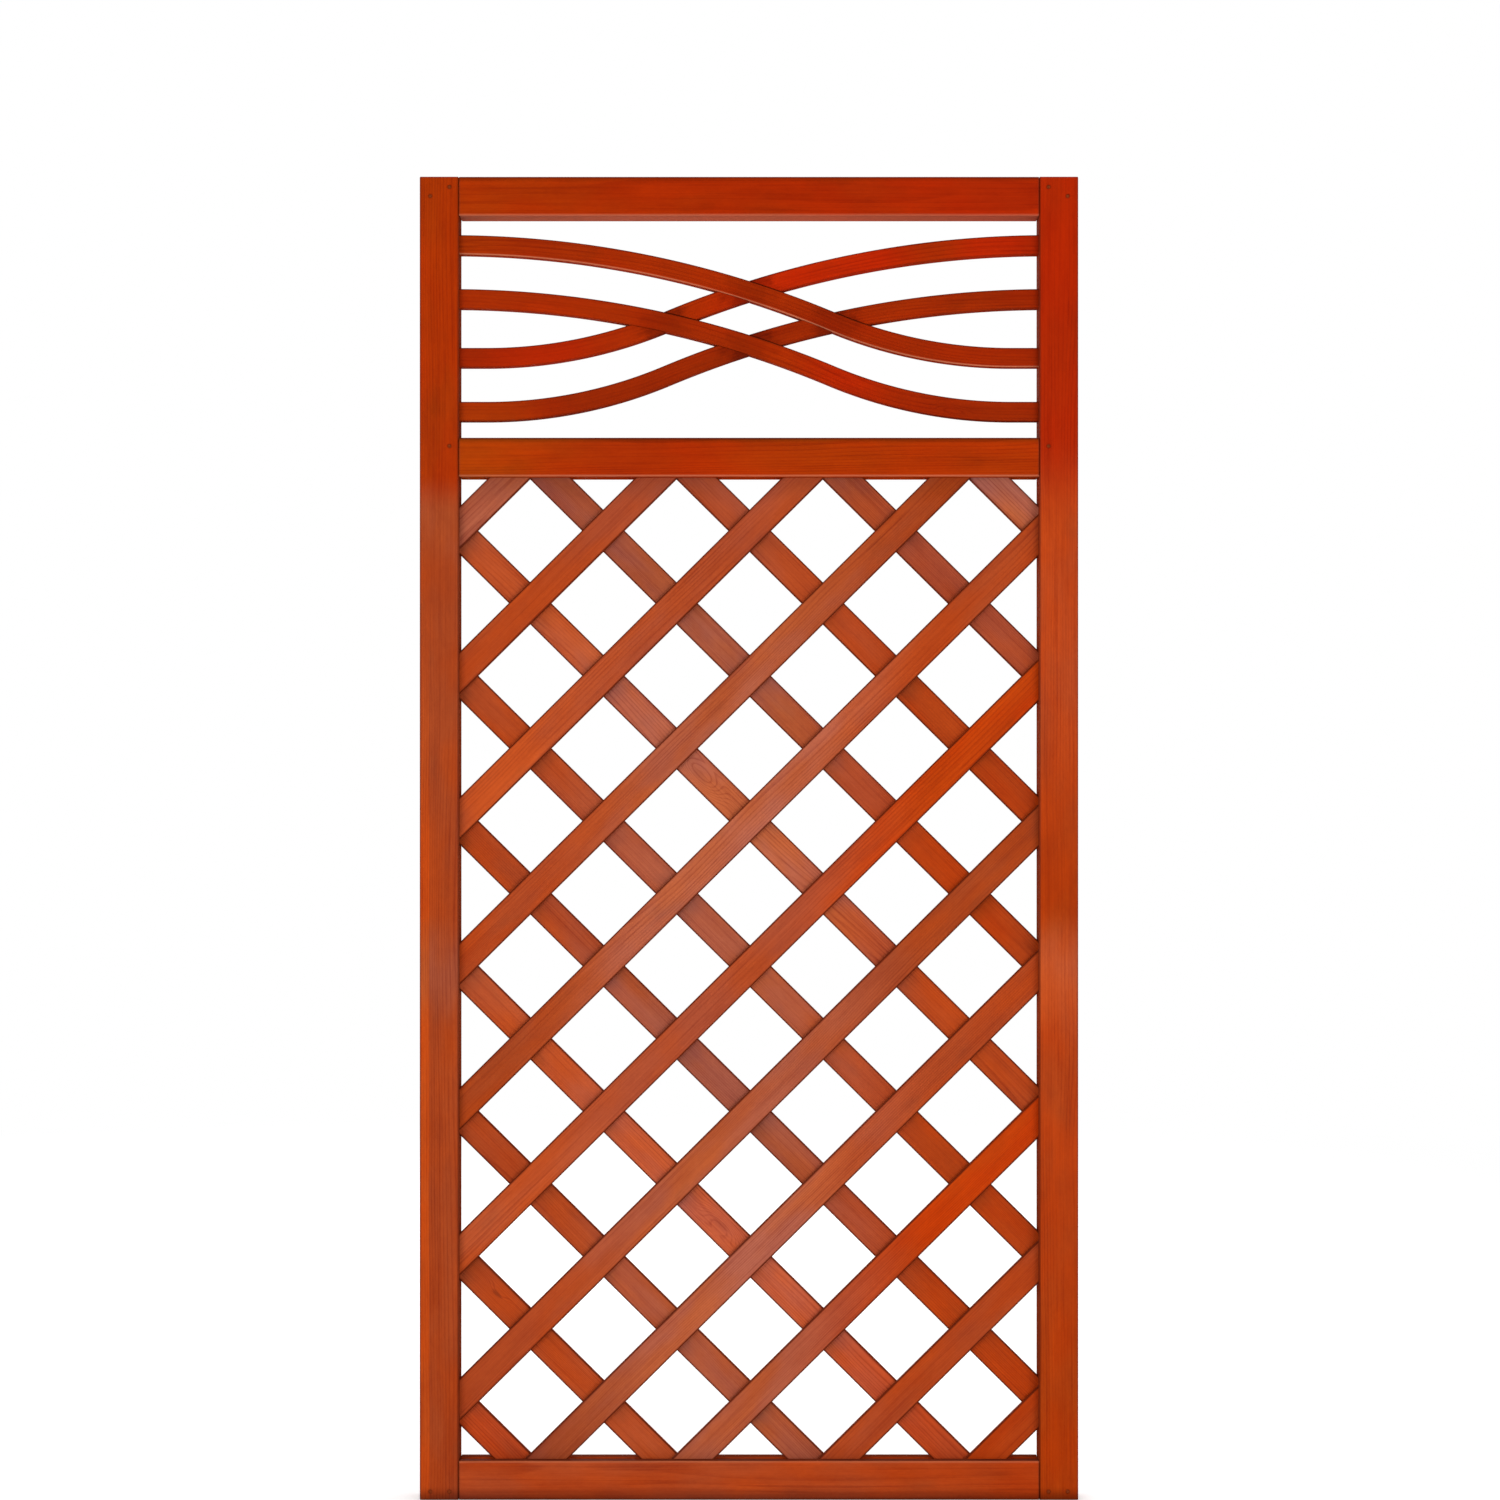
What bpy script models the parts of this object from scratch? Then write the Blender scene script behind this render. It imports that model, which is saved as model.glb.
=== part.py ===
"""Trellis fence panel in stained softwood.

A mortised frame of two stiles and three rails holds a diagonal two-layer lattice in its lower
window and four crossing S-curved slats in its upper one. Metres, +Z up, +Y to the back.
The origin is at the middle of the bottom edge.
"""
import math

import bmesh
import bpy
from mathutils import Vector

# Overall panel
PANEL_WIDTH = 0.896
PANEL_HEIGHT = 1.800

# Frame members: their faces seen from the front, their depth, the rounding of their long
# arrises, and the share of it that their end edges get
STILE_FACE = 0.053
RAIL_FACE = 0.053
MEMBER_DEPTH = 0.045
FRAME_ARRIS = 0.0025
END_EASING = 0.5

# Clear height of the upper window, between the top rail and the middle rail
ORNAMENT_HEIGHT = 0.302

# Rail tenons in the stiles
TENON_LENGTH = 0.046
TENON_THICKNESS = 0.015
TENON_SHOULDER = 0.0055
TOP_TENON_SHOULDER = 0.008

# Groove that holds the lattice in the lower window
GROOVE_DEPTH = 0.010
LATH_END_PLAY = 0.0006

# Lattice laths: section, how steeply they run, how many make a layer, and the clear height
# left in the window's corner past the outermost one
LATH_WIDTH = 0.041
LATH_THICKNESS = 0.008
LATH_ARRIS = 0.0012
LATH_ANGLE = math.radians(44.755)
LATHS_PER_LAYER = 11
CORNER_OPENING = 0.0403

# How far each layer's middle lath passes above the middle of the window
FRONT_LAYER_RISE = 0.001
BACK_LAYER_RISE = 0.0035

# Curved slats: section, and the S-curve from the high end to the low end
SLAT_WIDTH = 0.0264
SLAT_DEPTH = 0.020
SLAT_ARRIS = 0.0018
SLAT_SPACING = 0.0736
SLAT_DROP = 0.154
SLAT_HOUSING = 0.012
LOW_END_RADIUS = 0.635
LOW_END_STRAIGHT = 0.037
ARC_STEPS = 16

# Nails through the stile faces into the tenons
NAIL_LENGTH = 0.036
NAIL_HEAD_RADIUS = 0.0023
NAIL_HEAD_HEIGHT = 0.0012
NAIL_SHANK_RADIUS = 0.0012
NAIL_TIP = 0.003
NAIL_SET = 0.0002
NAIL_FROM_JOINT = 0.0125
NAIL_FROM_TENON_END = 0.0075
NAIL_FROM_TENON_EDGE = 0.006
NAIL_SIDES = 12

# Gap kept between pieces that touch, how far a cutter reaches past what it cuts, and how near
# two corners of an outline must be to be one
FIT = 0.0003
CUT_PAST = 0.002
WELD = 0.00001

# Edges that turn more than this are rounded, and those shaded sharp on the curved slats
ROUNDED_ANGLE = math.radians(45)
SHARP_ANGLE = math.radians(30)

# Sizes that follow from the ones above
HALF_WIDTH = PANEL_WIDTH / 2
WINDOW_HALF = HALF_WIDTH - STILE_FACE
FRONT = -MEMBER_DEPTH / 2
TOP_RAIL_LOW = PANEL_HEIGHT - RAIL_FACE
MIDDLE_RAIL_TOP = TOP_RAIL_LOW - ORNAMENT_HEIGHT
MIDDLE_RAIL_LOW = MIDDLE_RAIL_TOP - RAIL_FACE
BOTTOM_RAIL_TOP = RAIL_FACE
GROOVE_WIDTH = 2 * LATH_THICKNESS + 3 * FIT

# Stained wood and nail colours, linear
UPPER_STAIN = (0.39, 0.034, 0.002, 1.0)
LOWER_STAIN = (0.41, 0.060, 0.014, 1.0)
LATH_STAIN = (0.44, 0.078, 0.024, 1.0)
NAIL_COLOUR = (0.06, 0.028, 0.018, 1.0)


def clear_scene():
    """Start from an empty scene."""
    for scene_object in list(bpy.data.objects):
        bpy.data.objects.remove(scene_object, do_unlink=True)


def make_collection(name):
    """A new collection in the scene."""
    collection = bpy.data.collections.new(name)
    bpy.context.scene.collection.children.link(collection)
    return collection


def make_material(name, colour, roughness, metallic=0.0):
    """A plain Principled material."""
    material = bpy.data.materials.new(name)
    material.use_nodes = True
    shader = material.node_tree.nodes["Principled BSDF"]
    shader.inputs["Base Color"].default_value = colour
    shader.inputs["Roughness"].default_value = roughness
    shader.inputs["Metallic"].default_value = metallic
    return material


def add_piece(name, mesh, colour, roughness=0.42, metallic=0.0):
    """Link a mesh to the panel as a named piece with its own material."""
    if not mesh.materials:
        mesh.materials.append(make_material(name + "_finish", colour, roughness, metallic))
    piece = bpy.data.objects.new(name, mesh)
    PANEL.objects.link(piece)
    piece.parent = PANEL_ORIGIN
    return piece


def add_cutter(name, mesh):
    """Link a mesh to the cutters, drawn as a wire and left out of renders."""
    cutter = bpy.data.objects.new(name, mesh)
    CUTTERS.objects.link(cutter)
    cutter.hide_render = True
    cutter.display_type = 'WIRE'
    return cutter


def box_mesh(name, size):
    """A box of the given size about its own centre."""
    shape = bmesh.new()
    bmesh.ops.create_cube(shape, size=1.0)
    bmesh.ops.scale(shape, vec=Vector(size), verts=shape.verts)
    mesh = bpy.data.meshes.new(name)
    shape.to_mesh(mesh)
    shape.free()
    return mesh


def bar_mesh(name, size, long_axis, end_weight):
    """A box whose long edges are weighted for rounding, and whose end edges are eased."""
    mesh = box_mesh(name, size)
    weights = mesh.attributes.new("bevel_weight_edge", 'FLOAT', 'EDGE')
    for edge in mesh.edges:
        start, end = (mesh.vertices[index].co for index in edge.vertices)
        runs_along = abs(end[long_axis] - start[long_axis]) > size[long_axis] / 2
        weights.data[edge.index].value = 1.0 if runs_along else end_weight
    return mesh


def round_edges(piece, width, segments, limit='WEIGHT'):
    """Round the weighted edges, or all the square ones."""
    bevel = piece.modifiers.new("rounded_arrises", 'BEVEL')
    bevel.width = width
    bevel.segments = segments
    bevel.limit_method = limit
    bevel.angle_limit = ROUNDED_ANGLE


def combine(piece, tool, operation):
    """Cut a piece with a tool, join the tool to it, or keep what they share."""
    boolean = piece.modifiers.new(tool.name, 'BOOLEAN')
    boolean.operation = operation
    boolean.solver = 'EXACT'
    boolean.object = tool


def box_tool(name, low, high):
    """A cutter box between two corners."""
    low = Vector(low)
    high = Vector(high)
    tool = add_cutter(name, box_mesh(name, high - low))
    tool.location = (low + high) / 2
    return tool


def side_name(side):
    """The panel's left or right, as seen from the front."""
    return "left" if side < 0 else "right"


def span_x(side, near, far):
    """Order two distances from the middle plane into low and high X on one side."""
    return sorted((side * near, side * far))


def rail_joints():
    """Each rail's name, height span, tenon span and groove span.

    The tenons keep a shoulder to the edges of the rail, and to its groove.
    """
    middle_floor = MIDDLE_RAIL_LOW + GROOVE_DEPTH
    bottom_floor = BOTTOM_RAIL_TOP - GROOVE_DEPTH
    return (
        ("top_rail", (TOP_RAIL_LOW, PANEL_HEIGHT),
         (TOP_RAIL_LOW + TOP_TENON_SHOULDER, PANEL_HEIGHT - TOP_TENON_SHOULDER), None),
        ("middle_rail", (MIDDLE_RAIL_LOW, MIDDLE_RAIL_TOP),
         (middle_floor + TENON_SHOULDER, MIDDLE_RAIL_TOP - TENON_SHOULDER),
         (MIDDLE_RAIL_LOW - CUT_PAST, middle_floor)),
        ("bottom_rail", (0.0, BOTTOM_RAIL_TOP),
         (TENON_SHOULDER, bottom_floor - TENON_SHOULDER),
         (bottom_floor, BOTTOM_RAIL_TOP + CUT_PAST)),
    )


def nail_places():
    """Where each nail enters: its name, rail, side, distance from the middle plane, and height."""
    spans = {name: tenon for name, _, tenon, _ in rail_joints()}
    inner = WINDOW_HALF + NAIL_FROM_JOINT
    outer = WINDOW_HALF + TENON_LENGTH - NAIL_FROM_TENON_END
    top_low, top_high = spans["top_rail"]
    middle_high = spans["middle_rail"][1]
    bottom_low = spans["bottom_rail"][0]
    heights = (
        ("top_inner", "top_rail", inner, top_high - NAIL_FROM_TENON_EDGE),
        ("top_outer", "top_rail", outer, (top_low + top_high) / 2),
        ("middle", "middle_rail", inner, middle_high - NAIL_FROM_TENON_EDGE),
        ("bottom_inner", "bottom_rail", inner, bottom_low + NAIL_FROM_TENON_EDGE),
        ("bottom_outer", "bottom_rail", outer, bottom_low + NAIL_FROM_TENON_EDGE),
    )
    for side in (-1, 1):
        for place, rail, distance, height in heights:
            yield "nail_%s_%s" % (side_name(side), place), rail, side, distance, height


def turned_mesh(name, profile):
    """A turned solid from radius and height pairs that run down its outer side."""
    shape = bmesh.new()
    points = [shape.verts.new((radius, 0.0, height)) for radius, height in profile]
    for upper, lower in zip(points, points[1:]):
        shape.edges.new((upper, lower))
    mesh = bpy.data.meshes.new(name)
    shape.to_mesh(mesh)
    shape.free()
    return mesh


def turn(piece):
    """Spin the profile about its own Z axis into a closed solid."""
    screw = piece.modifiers.new("turned", 'SCREW')
    screw.axis = 'Z'
    screw.steps = NAIL_SIDES
    screw.render_steps = NAIL_SIDES
    screw.use_merge_vertices = True
    screw.merge_threshold = WELD
    screw.use_smooth_shade = True


def nail_profile(extra, rise):
    """A nail's outline from its head down, grown by extra all over and risen above its head."""
    return (
        (0.0, rise),
        (NAIL_HEAD_RADIUS + extra, rise),
        (NAIL_HEAD_RADIUS + extra, -NAIL_HEAD_HEIGHT - extra),
        (NAIL_SHANK_RADIUS + extra, -NAIL_HEAD_HEIGHT - extra),
        (NAIL_SHANK_RADIUS + extra, -NAIL_LENGTH + NAIL_TIP - extra),
        (0.0, -NAIL_LENGTH - extra),
    )


def place_nail(nail, side, distance, height):
    """Set a nail or its hole square to the front face, head outwards."""
    nail.location = (side * distance, FRONT + NAIL_SET, height)
    nail.rotation_euler = (math.pi / 2, 0.0, 0.0)
    turn(nail)


def build_nails():
    """The nails, and the holes they sit in, by name."""
    nail_mesh = turned_mesh("nail", nail_profile(0.0, 0.0))
    hole_mesh = turned_mesh("nail_hole", nail_profile(FIT, NAIL_SET + CUT_PAST))
    holes = []
    for name, rail, side, distance, height in nail_places():
        nail = add_piece(name, nail_mesh, NAIL_COLOUR, roughness=0.55, metallic=0.8)
        place_nail(nail, side, distance, height)
        hole = add_cutter(name + "_hole", hole_mesh)
        place_nail(hole, side, distance, height)
        holes.append((hole, rail, side))
    return holes


def sweep_line(offset, reach):
    """Points of the S-curve at an offset above the slat's centreline, from high end to low end.

    The curve leaves the high end level, falls in a wide arc, and runs level again into the
    low end through a tighter arc and a short straight. Its ends reach into the stiles.
    """
    run = 2 * WINDOW_HALF + SLAT_HOUSING - LOW_END_STRAIGHT
    turn_angle = 2 * math.atan(SLAT_DROP / run)
    high_radius = run / math.sin(turn_angle) - LOW_END_RADIUS
    start_x = -WINDOW_HALF - SLAT_HOUSING
    arcs_end_x = start_x + run
    points = [(-WINDOW_HALF - reach, offset)] if reach > SLAT_HOUSING else []
    for step in range(ARC_STEPS + 1):
        angle = turn_angle * step / ARC_STEPS
        radius = high_radius + offset
        points.append((start_x + radius * math.sin(angle),
                       -high_radius + radius * math.cos(angle)))
    for step in range(ARC_STEPS - 1, -1, -1):
        angle = turn_angle * step / ARC_STEPS
        radius = LOW_END_RADIUS - offset
        points.append((arcs_end_x - radius * math.sin(angle),
                       -SLAT_DROP + LOW_END_RADIUS - radius * math.cos(angle)))
    points.append((WINDOW_HALF + reach, -SLAT_DROP + offset))
    return points


def slat_mesh(name, falls_to, widen, depth, past_ends):
    """A slat's outline, drawn flat as a filled curve and given its depth."""
    reach = SLAT_HOUSING + past_ends
    upper = sweep_line(SLAT_WIDTH / 2 + widen, reach)
    lower = sweep_line(-SLAT_WIDTH / 2 - widen, reach)
    outline = [(falls_to * x, z) for x, z in upper + lower[::-1]]
    curve = bpy.data.curves.new(name, 'CURVE')
    curve.dimensions = '2D'
    curve.fill_mode = 'BOTH'
    curve.extrude = depth / 2
    spline = curve.splines.new('POLY')
    spline.points.add(len(outline) - 1)
    for point, (x, z) in zip(spline.points, outline):
        point.co = (x, z, 0.0, 1.0)
    spline.use_cyclic_u = True
    return mesh_from_curve(name, curve)


def mesh_from_curve(name, curve):
    """Turn a filled curve into a mesh whose faces and sides are welded together."""
    guide = bpy.data.objects.new(name + "_outline", curve)
    CUTTERS.objects.link(guide)
    evaluated = guide.evaluated_get(bpy.context.evaluated_depsgraph_get())
    mesh = bpy.data.meshes.new_from_object(evaluated)
    mesh.name = name
    bpy.data.objects.remove(guide, do_unlink=True)
    bpy.data.curves.remove(curve)
    shape = bmesh.new()
    shape.from_mesh(mesh)
    bmesh.ops.remove_doubles(shape, verts=shape.verts, dist=WELD)
    bmesh.ops.recalc_face_normals(shape, faces=shape.faces)
    shape.to_mesh(mesh)
    shape.free()
    mesh.materials.clear()
    mesh.shade_smooth()
    mesh.set_sharp_from_angle(angle=SHARP_ANGLE)
    return mesh


def slat_heights():
    """The centre heights of the upper and the lower slat at their high ends."""
    margin = (ORNAMENT_HEIGHT - SLAT_WIDTH - SLAT_SPACING - SLAT_DROP) / 2
    upper = TOP_RAIL_LOW - margin - SLAT_WIDTH / 2
    return {"upper": upper, "lower": upper - SLAT_SPACING}


def build_slats():
    """The four curved slats, halved into each other where they cross."""
    standing = (math.pi / 2, 0.0, 0.0)
    slats = {}
    for layer, falls_to in (("front", 1), ("back", -1)):
        for row, height in slat_heights().items():
            name = "curved_slat_%s_%s" % (row, layer)
            slat = add_piece(name, slat_mesh(name, falls_to, 0.0, SLAT_DEPTH, 0.0), UPPER_STAIN)
            slat.location = (0.0, 0.0, height)
            slat.rotation_euler = standing
            round_edges(slat, SLAT_ARRIS, 2, limit='ANGLE')
            slats[layer, row] = slat
    lap_depth = SLAT_DEPTH / 2 + FIT / 2 + CUT_PAST
    lap_centre = lap_depth / 2 - FIT / 2
    for layer, other, falls_to, backward in (("front", "back", -1, 1), ("back", "front", 1, -1)):
        lap = slat_mesh("lap_in_" + layer, falls_to, FIT, lap_depth, CUT_PAST)
        for row, height in slat_heights().items():
            tool = add_cutter("lap_in_%s_slats_%s" % (layer, row), lap)
            tool.location = (0.0, backward * lap_centre, height)
            tool.rotation_euler = standing
            for cut_row in slat_heights():
                combine(slats[layer, cut_row], tool, 'DIFFERENCE')


def build_stile(side, holes):
    """One full-height stile with its mortises, slat housings and lattice groove."""
    name = side_name(side) + "_stile"
    size = (STILE_FACE, MEMBER_DEPTH, PANEL_HEIGHT)
    stile = add_piece(name, bar_mesh(name, size, 2, END_EASING), LOWER_STAIN)
    stile.location = (side * (HALF_WIDTH - STILE_FACE / 2), 0.0, PANEL_HEIGHT / 2)
    round_edges(stile, FRAME_ARRIS, 3)

    half_mortise = TENON_THICKNESS / 2 + FIT
    low_x, high_x = span_x(side, WINDOW_HALF - CUT_PAST, WINDOW_HALF + TENON_LENGTH + FIT)
    for rail, _, (tenon_low, tenon_high), _ in rail_joints():
        combine(stile, box_tool("%s_mortise_%s" % (rail, side_name(side)),
                                (low_x, -half_mortise, tenon_low - FIT),
                                (high_x, half_mortise, tenon_high + FIT)), 'DIFFERENCE')

    half_housing = SLAT_DEPTH / 2 + FIT
    low_x, high_x = span_x(side, WINDOW_HALF - CUT_PAST, WINDOW_HALF + SLAT_HOUSING + FIT)
    for row, height in slat_heights().items():
        for end, drop in (("high", 0.0), ("low", SLAT_DROP)):
            centre = height - drop
            combine(stile, box_tool("%s_%s_housing_%s" % (row, end, side_name(side)),
                                    (low_x, -half_housing, centre - SLAT_WIDTH / 2 - FIT),
                                    (high_x, half_housing, centre + SLAT_WIDTH / 2 + FIT)),
                    'DIFFERENCE')

    low_x, high_x = span_x(side, WINDOW_HALF - CUT_PAST, WINDOW_HALF + GROOVE_DEPTH)
    combine(stile, box_tool("stile_groove_" + side_name(side),
                            (low_x, -GROOVE_WIDTH / 2, BOTTOM_RAIL_TOP - FIT),
                            (high_x, GROOVE_WIDTH / 2, MIDDLE_RAIL_LOW + FIT)), 'DIFFERENCE')
    for hole, _, hole_side in holes:
        if hole_side == side:
            combine(stile, hole, 'DIFFERENCE')


def build_rail(name, span, tenon, groove, holes):
    """One rail between the stiles, with its two tenons and, where it has one, its groove."""
    low, high = span
    shoulder = WINDOW_HALF - FIT
    size = (2 * shoulder, MEMBER_DEPTH, high - low)
    colour = LOWER_STAIN if name == "bottom_rail" else UPPER_STAIN
    rail = add_piece(name, bar_mesh(name, size, 0, END_EASING), colour)
    rail.location = (0.0, 0.0, (low + high) / 2)
    round_edges(rail, FRAME_ARRIS, 3)
    for side in (-1, 1):
        low_x, high_x = span_x(side, shoulder - TENON_LENGTH / 2, WINDOW_HALF + TENON_LENGTH)
        combine(rail, box_tool("%s_tenon_%s" % (name, side_name(side)),
                               (low_x, -TENON_THICKNESS / 2, tenon[0]),
                               (high_x, TENON_THICKNESS / 2, tenon[1])), 'UNION')
    if groove:
        combine(rail, box_tool(name + "_groove",
                               (-WINDOW_HALF - CUT_PAST, -GROOVE_WIDTH / 2, groove[0]),
                               (WINDOW_HALF + CUT_PAST, GROOVE_WIDTH / 2, groove[1])),
                'DIFFERENCE')
    for hole, hole_rail, _ in holes:
        if hole_rail == name:
            combine(rail, hole, 'DIFFERENCE')


def build_lattice():
    """Two layers of diagonal laths, each trimmed to the window and the grooves around it."""
    slope = math.tan(LATH_ANGLE)
    centre = (BOTTOM_RAIL_TOP + MIDDLE_RAIL_LOW) / 2
    half_height = (MIDDLE_RAIL_LOW - BOTTOM_RAIL_TOP) / 2
    into_groove = GROOVE_DEPTH - LATH_END_PLAY
    trim_x = WINDOW_HALF + into_groove
    trim_z = half_height + into_groove
    trim = box_tool("lattice_trim", (-trim_x, -MEMBER_DEPTH, centre - trim_z),
                    (trim_x, MEMBER_DEPTH, centre + trim_z))
    size = (2 * trim_x / math.cos(LATH_ANGLE) + 2 * LATH_WIDTH, LATH_THICKNESS, LATH_WIDTH)
    half_rise = LATH_WIDTH / 2 / math.cos(LATH_ANGLE)
    outermost = (LATHS_PER_LAYER - 1) / 2
    spacing = (half_height + WINDOW_HALF * slope - half_rise - CORNER_OPENING) / outermost
    layers = (("front", -1, 1, FRONT_LAYER_RISE), ("back", 1, -1, BACK_LAYER_RISE))
    for layer, backward, rising, layer_rise in layers:
        for number in range(LATHS_PER_LAYER):
            name = "%s_lath_%02d" % (layer, number + 1)
            lath = add_piece(name, bar_mesh(name, size, 0, 0.0), LATH_STAIN)
            lath.location = (0.0, backward * (LATH_THICKNESS + FIT) / 2,
                             centre + layer_rise + (number - outermost) * spacing)
            lath.rotation_euler = (0.0, -rising * LATH_ANGLE, 0.0)
            round_edges(lath, LATH_ARRIS, 2)
            combine(lath, trim, 'INTERSECT')


clear_scene()
PANEL = make_collection("trellis_panel")
CUTTERS = make_collection("cutters")
PANEL_ORIGIN = bpy.data.objects.new("panel_origin", None)
PANEL.objects.link(PANEL_ORIGIN)

nail_holes = build_nails()
for panel_side in (-1, 1):
    build_stile(panel_side, nail_holes)
for rail_name, rail_span, rail_tenon, rail_groove in rail_joints():
    build_rail(rail_name, rail_span, rail_tenon, rail_groove, nail_holes)
build_slats()
build_lattice()
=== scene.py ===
"""Looks of a trellis fence panel: stained softwood boards, curved slats, nails and staples.

Metres, +Z up, +Y to the back, the origin at the middle of the panel's bottom edge.
"""
import math
import random
from functools import partial

import bmesh
import bpy
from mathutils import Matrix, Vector


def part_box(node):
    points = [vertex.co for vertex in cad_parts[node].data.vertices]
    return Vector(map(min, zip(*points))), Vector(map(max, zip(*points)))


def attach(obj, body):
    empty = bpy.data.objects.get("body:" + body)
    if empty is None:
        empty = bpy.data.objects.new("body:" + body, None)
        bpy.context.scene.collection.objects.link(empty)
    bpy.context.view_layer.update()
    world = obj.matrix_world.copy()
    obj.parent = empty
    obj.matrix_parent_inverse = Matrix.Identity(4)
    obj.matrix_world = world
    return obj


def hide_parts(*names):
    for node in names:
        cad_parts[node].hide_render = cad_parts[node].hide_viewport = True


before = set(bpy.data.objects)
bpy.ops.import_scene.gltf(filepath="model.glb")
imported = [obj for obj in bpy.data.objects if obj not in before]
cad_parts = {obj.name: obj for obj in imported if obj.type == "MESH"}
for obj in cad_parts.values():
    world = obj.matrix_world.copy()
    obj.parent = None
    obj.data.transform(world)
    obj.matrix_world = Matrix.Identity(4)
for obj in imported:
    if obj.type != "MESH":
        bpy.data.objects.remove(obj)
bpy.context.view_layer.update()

# Joinery clearances and sizes that the frame's boxes do not give
FIT = 0.0003
FRAME_ARRIS = 0.0025
LATTICE_PITCH = 0.198394
LATH_ANGLE = math.radians(44.755)
LATH_WIDTH = 0.041
LATH_ARRIS = 0.0012
SLAT_WIDTH = 0.0264
SLAT_ARRIS = 0.0018
SLAT_HOUSING = 0.012
LOW_END_RADIUS = 0.635
LOW_END_STRAIGHT = 0.037

# How finely the rebuilt pieces are drawn, and how faces are joined and shaded
ARRIS_STEPS = 4
LATH_STATIONS = 24
SLAT_STATIONS = 96
NAIL_SEGMENTS = 24
WELD_REACH = 0.00002
SHARP_ANGLE = math.radians(40)
FLAT_WEIGHT = 90

# Places read from the frame
STILE_LOW, STILE_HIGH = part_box("right_stile")
TOP_LOW, TOP_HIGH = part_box("top_rail")
MIDDLE_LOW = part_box("middle_rail")[0]
BOTTOM_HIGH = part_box("bottom_rail")[1]
WINDOW_HALF = STILE_LOW.x
STILE_WIDTH = STILE_HIGH.x - STILE_LOW.x
RAIL_HALF_FACE = (TOP_HIGH.z - TOP_LOW.z) / 2
FRONT = STILE_LOW.y

# The photograph's frame: metres to a pixel at the panel's front, and where things lie in it
PHOTO_SIZE = 1500
METRES_PER_PIXEL = 0.0013601
PANEL_COLUMN = 749.0
GROUND_ROW = 1500
HORIZON_ROW = 795
CAMERA_DISTANCE = 4.2
SENSOR_WIDTH = 36.0

# The lamps' places, sizes and powers, the point that they aim at, and the world's level
LAMPS = {
    "key_softbox": ((2.3, -4.2, 0.7), (2.2, 1.8), 65),
    "fill_softbox": ((-2.3, -4.3, 1.2), (2.2, 1.8), 54),
    "back_softbox": ((-1.6, 4.8, 1.6), (3.0, 2.4), 100),
    "left_softbox": ((-4.6, 0.3, 1.3), (1.8, 2.2), 60),
    "right_softbox": ((4.6, 0.3, 1.3), (1.8, 2.2), 60),
    "top_softbox": ((0.4, 0.3, 4.8), (2.4, 1.6), 50),
}
LAMP_AIM = (0.0, 0.0, 0.9)
WORLD_LEVEL = 0.45

# The floor: half its size, its drop, its colour, its lift for the camera, and where it fades out
FLOOR_HALF = 40.0
FLOOR_DROP = 0.0005
FLOOR_COLOUR = (0.86, 0.86, 0.86, 1.0)
FLOOR_LIFT = 0.34
FLOOR_FADE = (1.5, 5.0)

# Noises have their waves to a metre along, across and through a board, and ramps their low, high,
# start and end. Textures also have their detail, roughness and weight in the grain's tint
TEXTURES = {
    "fibres": ((9.0, 620.0, 620.0), 3.0, 0.6, 0.55),
    "lines": ((4.5, 330.0, 330.0), 2.0, 0.5, 0.6),
    "streaks": ((2.6, 170.0, 170.0), 3.0, 0.6, 0.6),
    "clouds": ((11.0, 34.0, 34.0), 4.0, 0.65, 1.2),
    "specks": ((150.0, 420.0, 420.0), 2.0, 0.5, 0.4),
    "drift": ((1.1, 5.0, 5.0), 1.0, 0.5, 0.6),
}
LINE_RAMP = (0.54, 0.66, 0.5, 0.95)
TINT_RANGE = (-0.5, 1.0)
LATEWOOD_TINT = 0.55
KNOT_TINT = 0.8

# Growth rings: their wander and uneven spacing, and where the latewood rises, ends and fades
SEED_SHIFT = (3.17, 0.41, 0.73)
WANDER_WAVES = (1.6, 7.0, 7.0)
WANDER = 0.02
SPACING_WAVES = (55.0, 1.0, 1.0)
SPACING = 2.4
LATEWOOD_RISE = (0.5, 0.88)
LATEWOOD_END = (0.92, 1.0, 1.0, 0.0)
FADING_WAVES = (2.2, 20.0, 20.0)
FADING = (0.36, 0.62, 0.25, 1.0)

# Colours that multiply the stain
PALE_GRAIN = (1.22, 1.36, 1.34, 1.0)
DARK_GRAIN = (0.66, 0.52, 0.6, 1.0)
TO_ORANGE = (1.05, 0.95, 0.7, 1.0)
TO_BRICK = (0.96, 1.04, 1.28, 1.0)
# Dulls thin stain, and also paints shade on the laths
DULLED_AND_SHADED = (0.71, 0.86, 1.15, 1.0)
DARKENED = (0.42, 0.36, 0.4, 1.0)
# Darkens a rail's face towards its upper edge
UPPER_EDGE_DARKENING = (0.42, 0.69, 1.0, 1.0)
# Darkens the boards towards the bottom edge
FOOT_DARKENING = (0.42, 0.4, 0.6, 1.0)
SAPWOOD = (1.34, 1.2, 0.6, 1.0)

# Colours that lie over the stain
KNOT_HEART = (0.19, 0.042, 0.013, 1.0)
# Soaked stain, which on the stiles' inner sides, the bottom rail's top and the laths' sides also
# stands for painted shade
SOAKED_AND_SHADED_PALE = (0.17, 0.032, 0.013, 1.0)
SOAKED_AND_SHADED_DARK = (0.08, 0.014, 0.006, 1.0)
DARK_ARRIS = (0.11, 0.012, 0.002, 1.0)
# A painted highlight on arrises, where the arris share is below 0
PAINTED_ARRIS_HIGHLIGHT = (0.8, 0.33, 0.17, 1.0)
# A painted highlight on the top rail's underside
UNDERSIDE_HIGHLIGHT = (0.6, 0.215, 0.123, 1.0)

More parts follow.
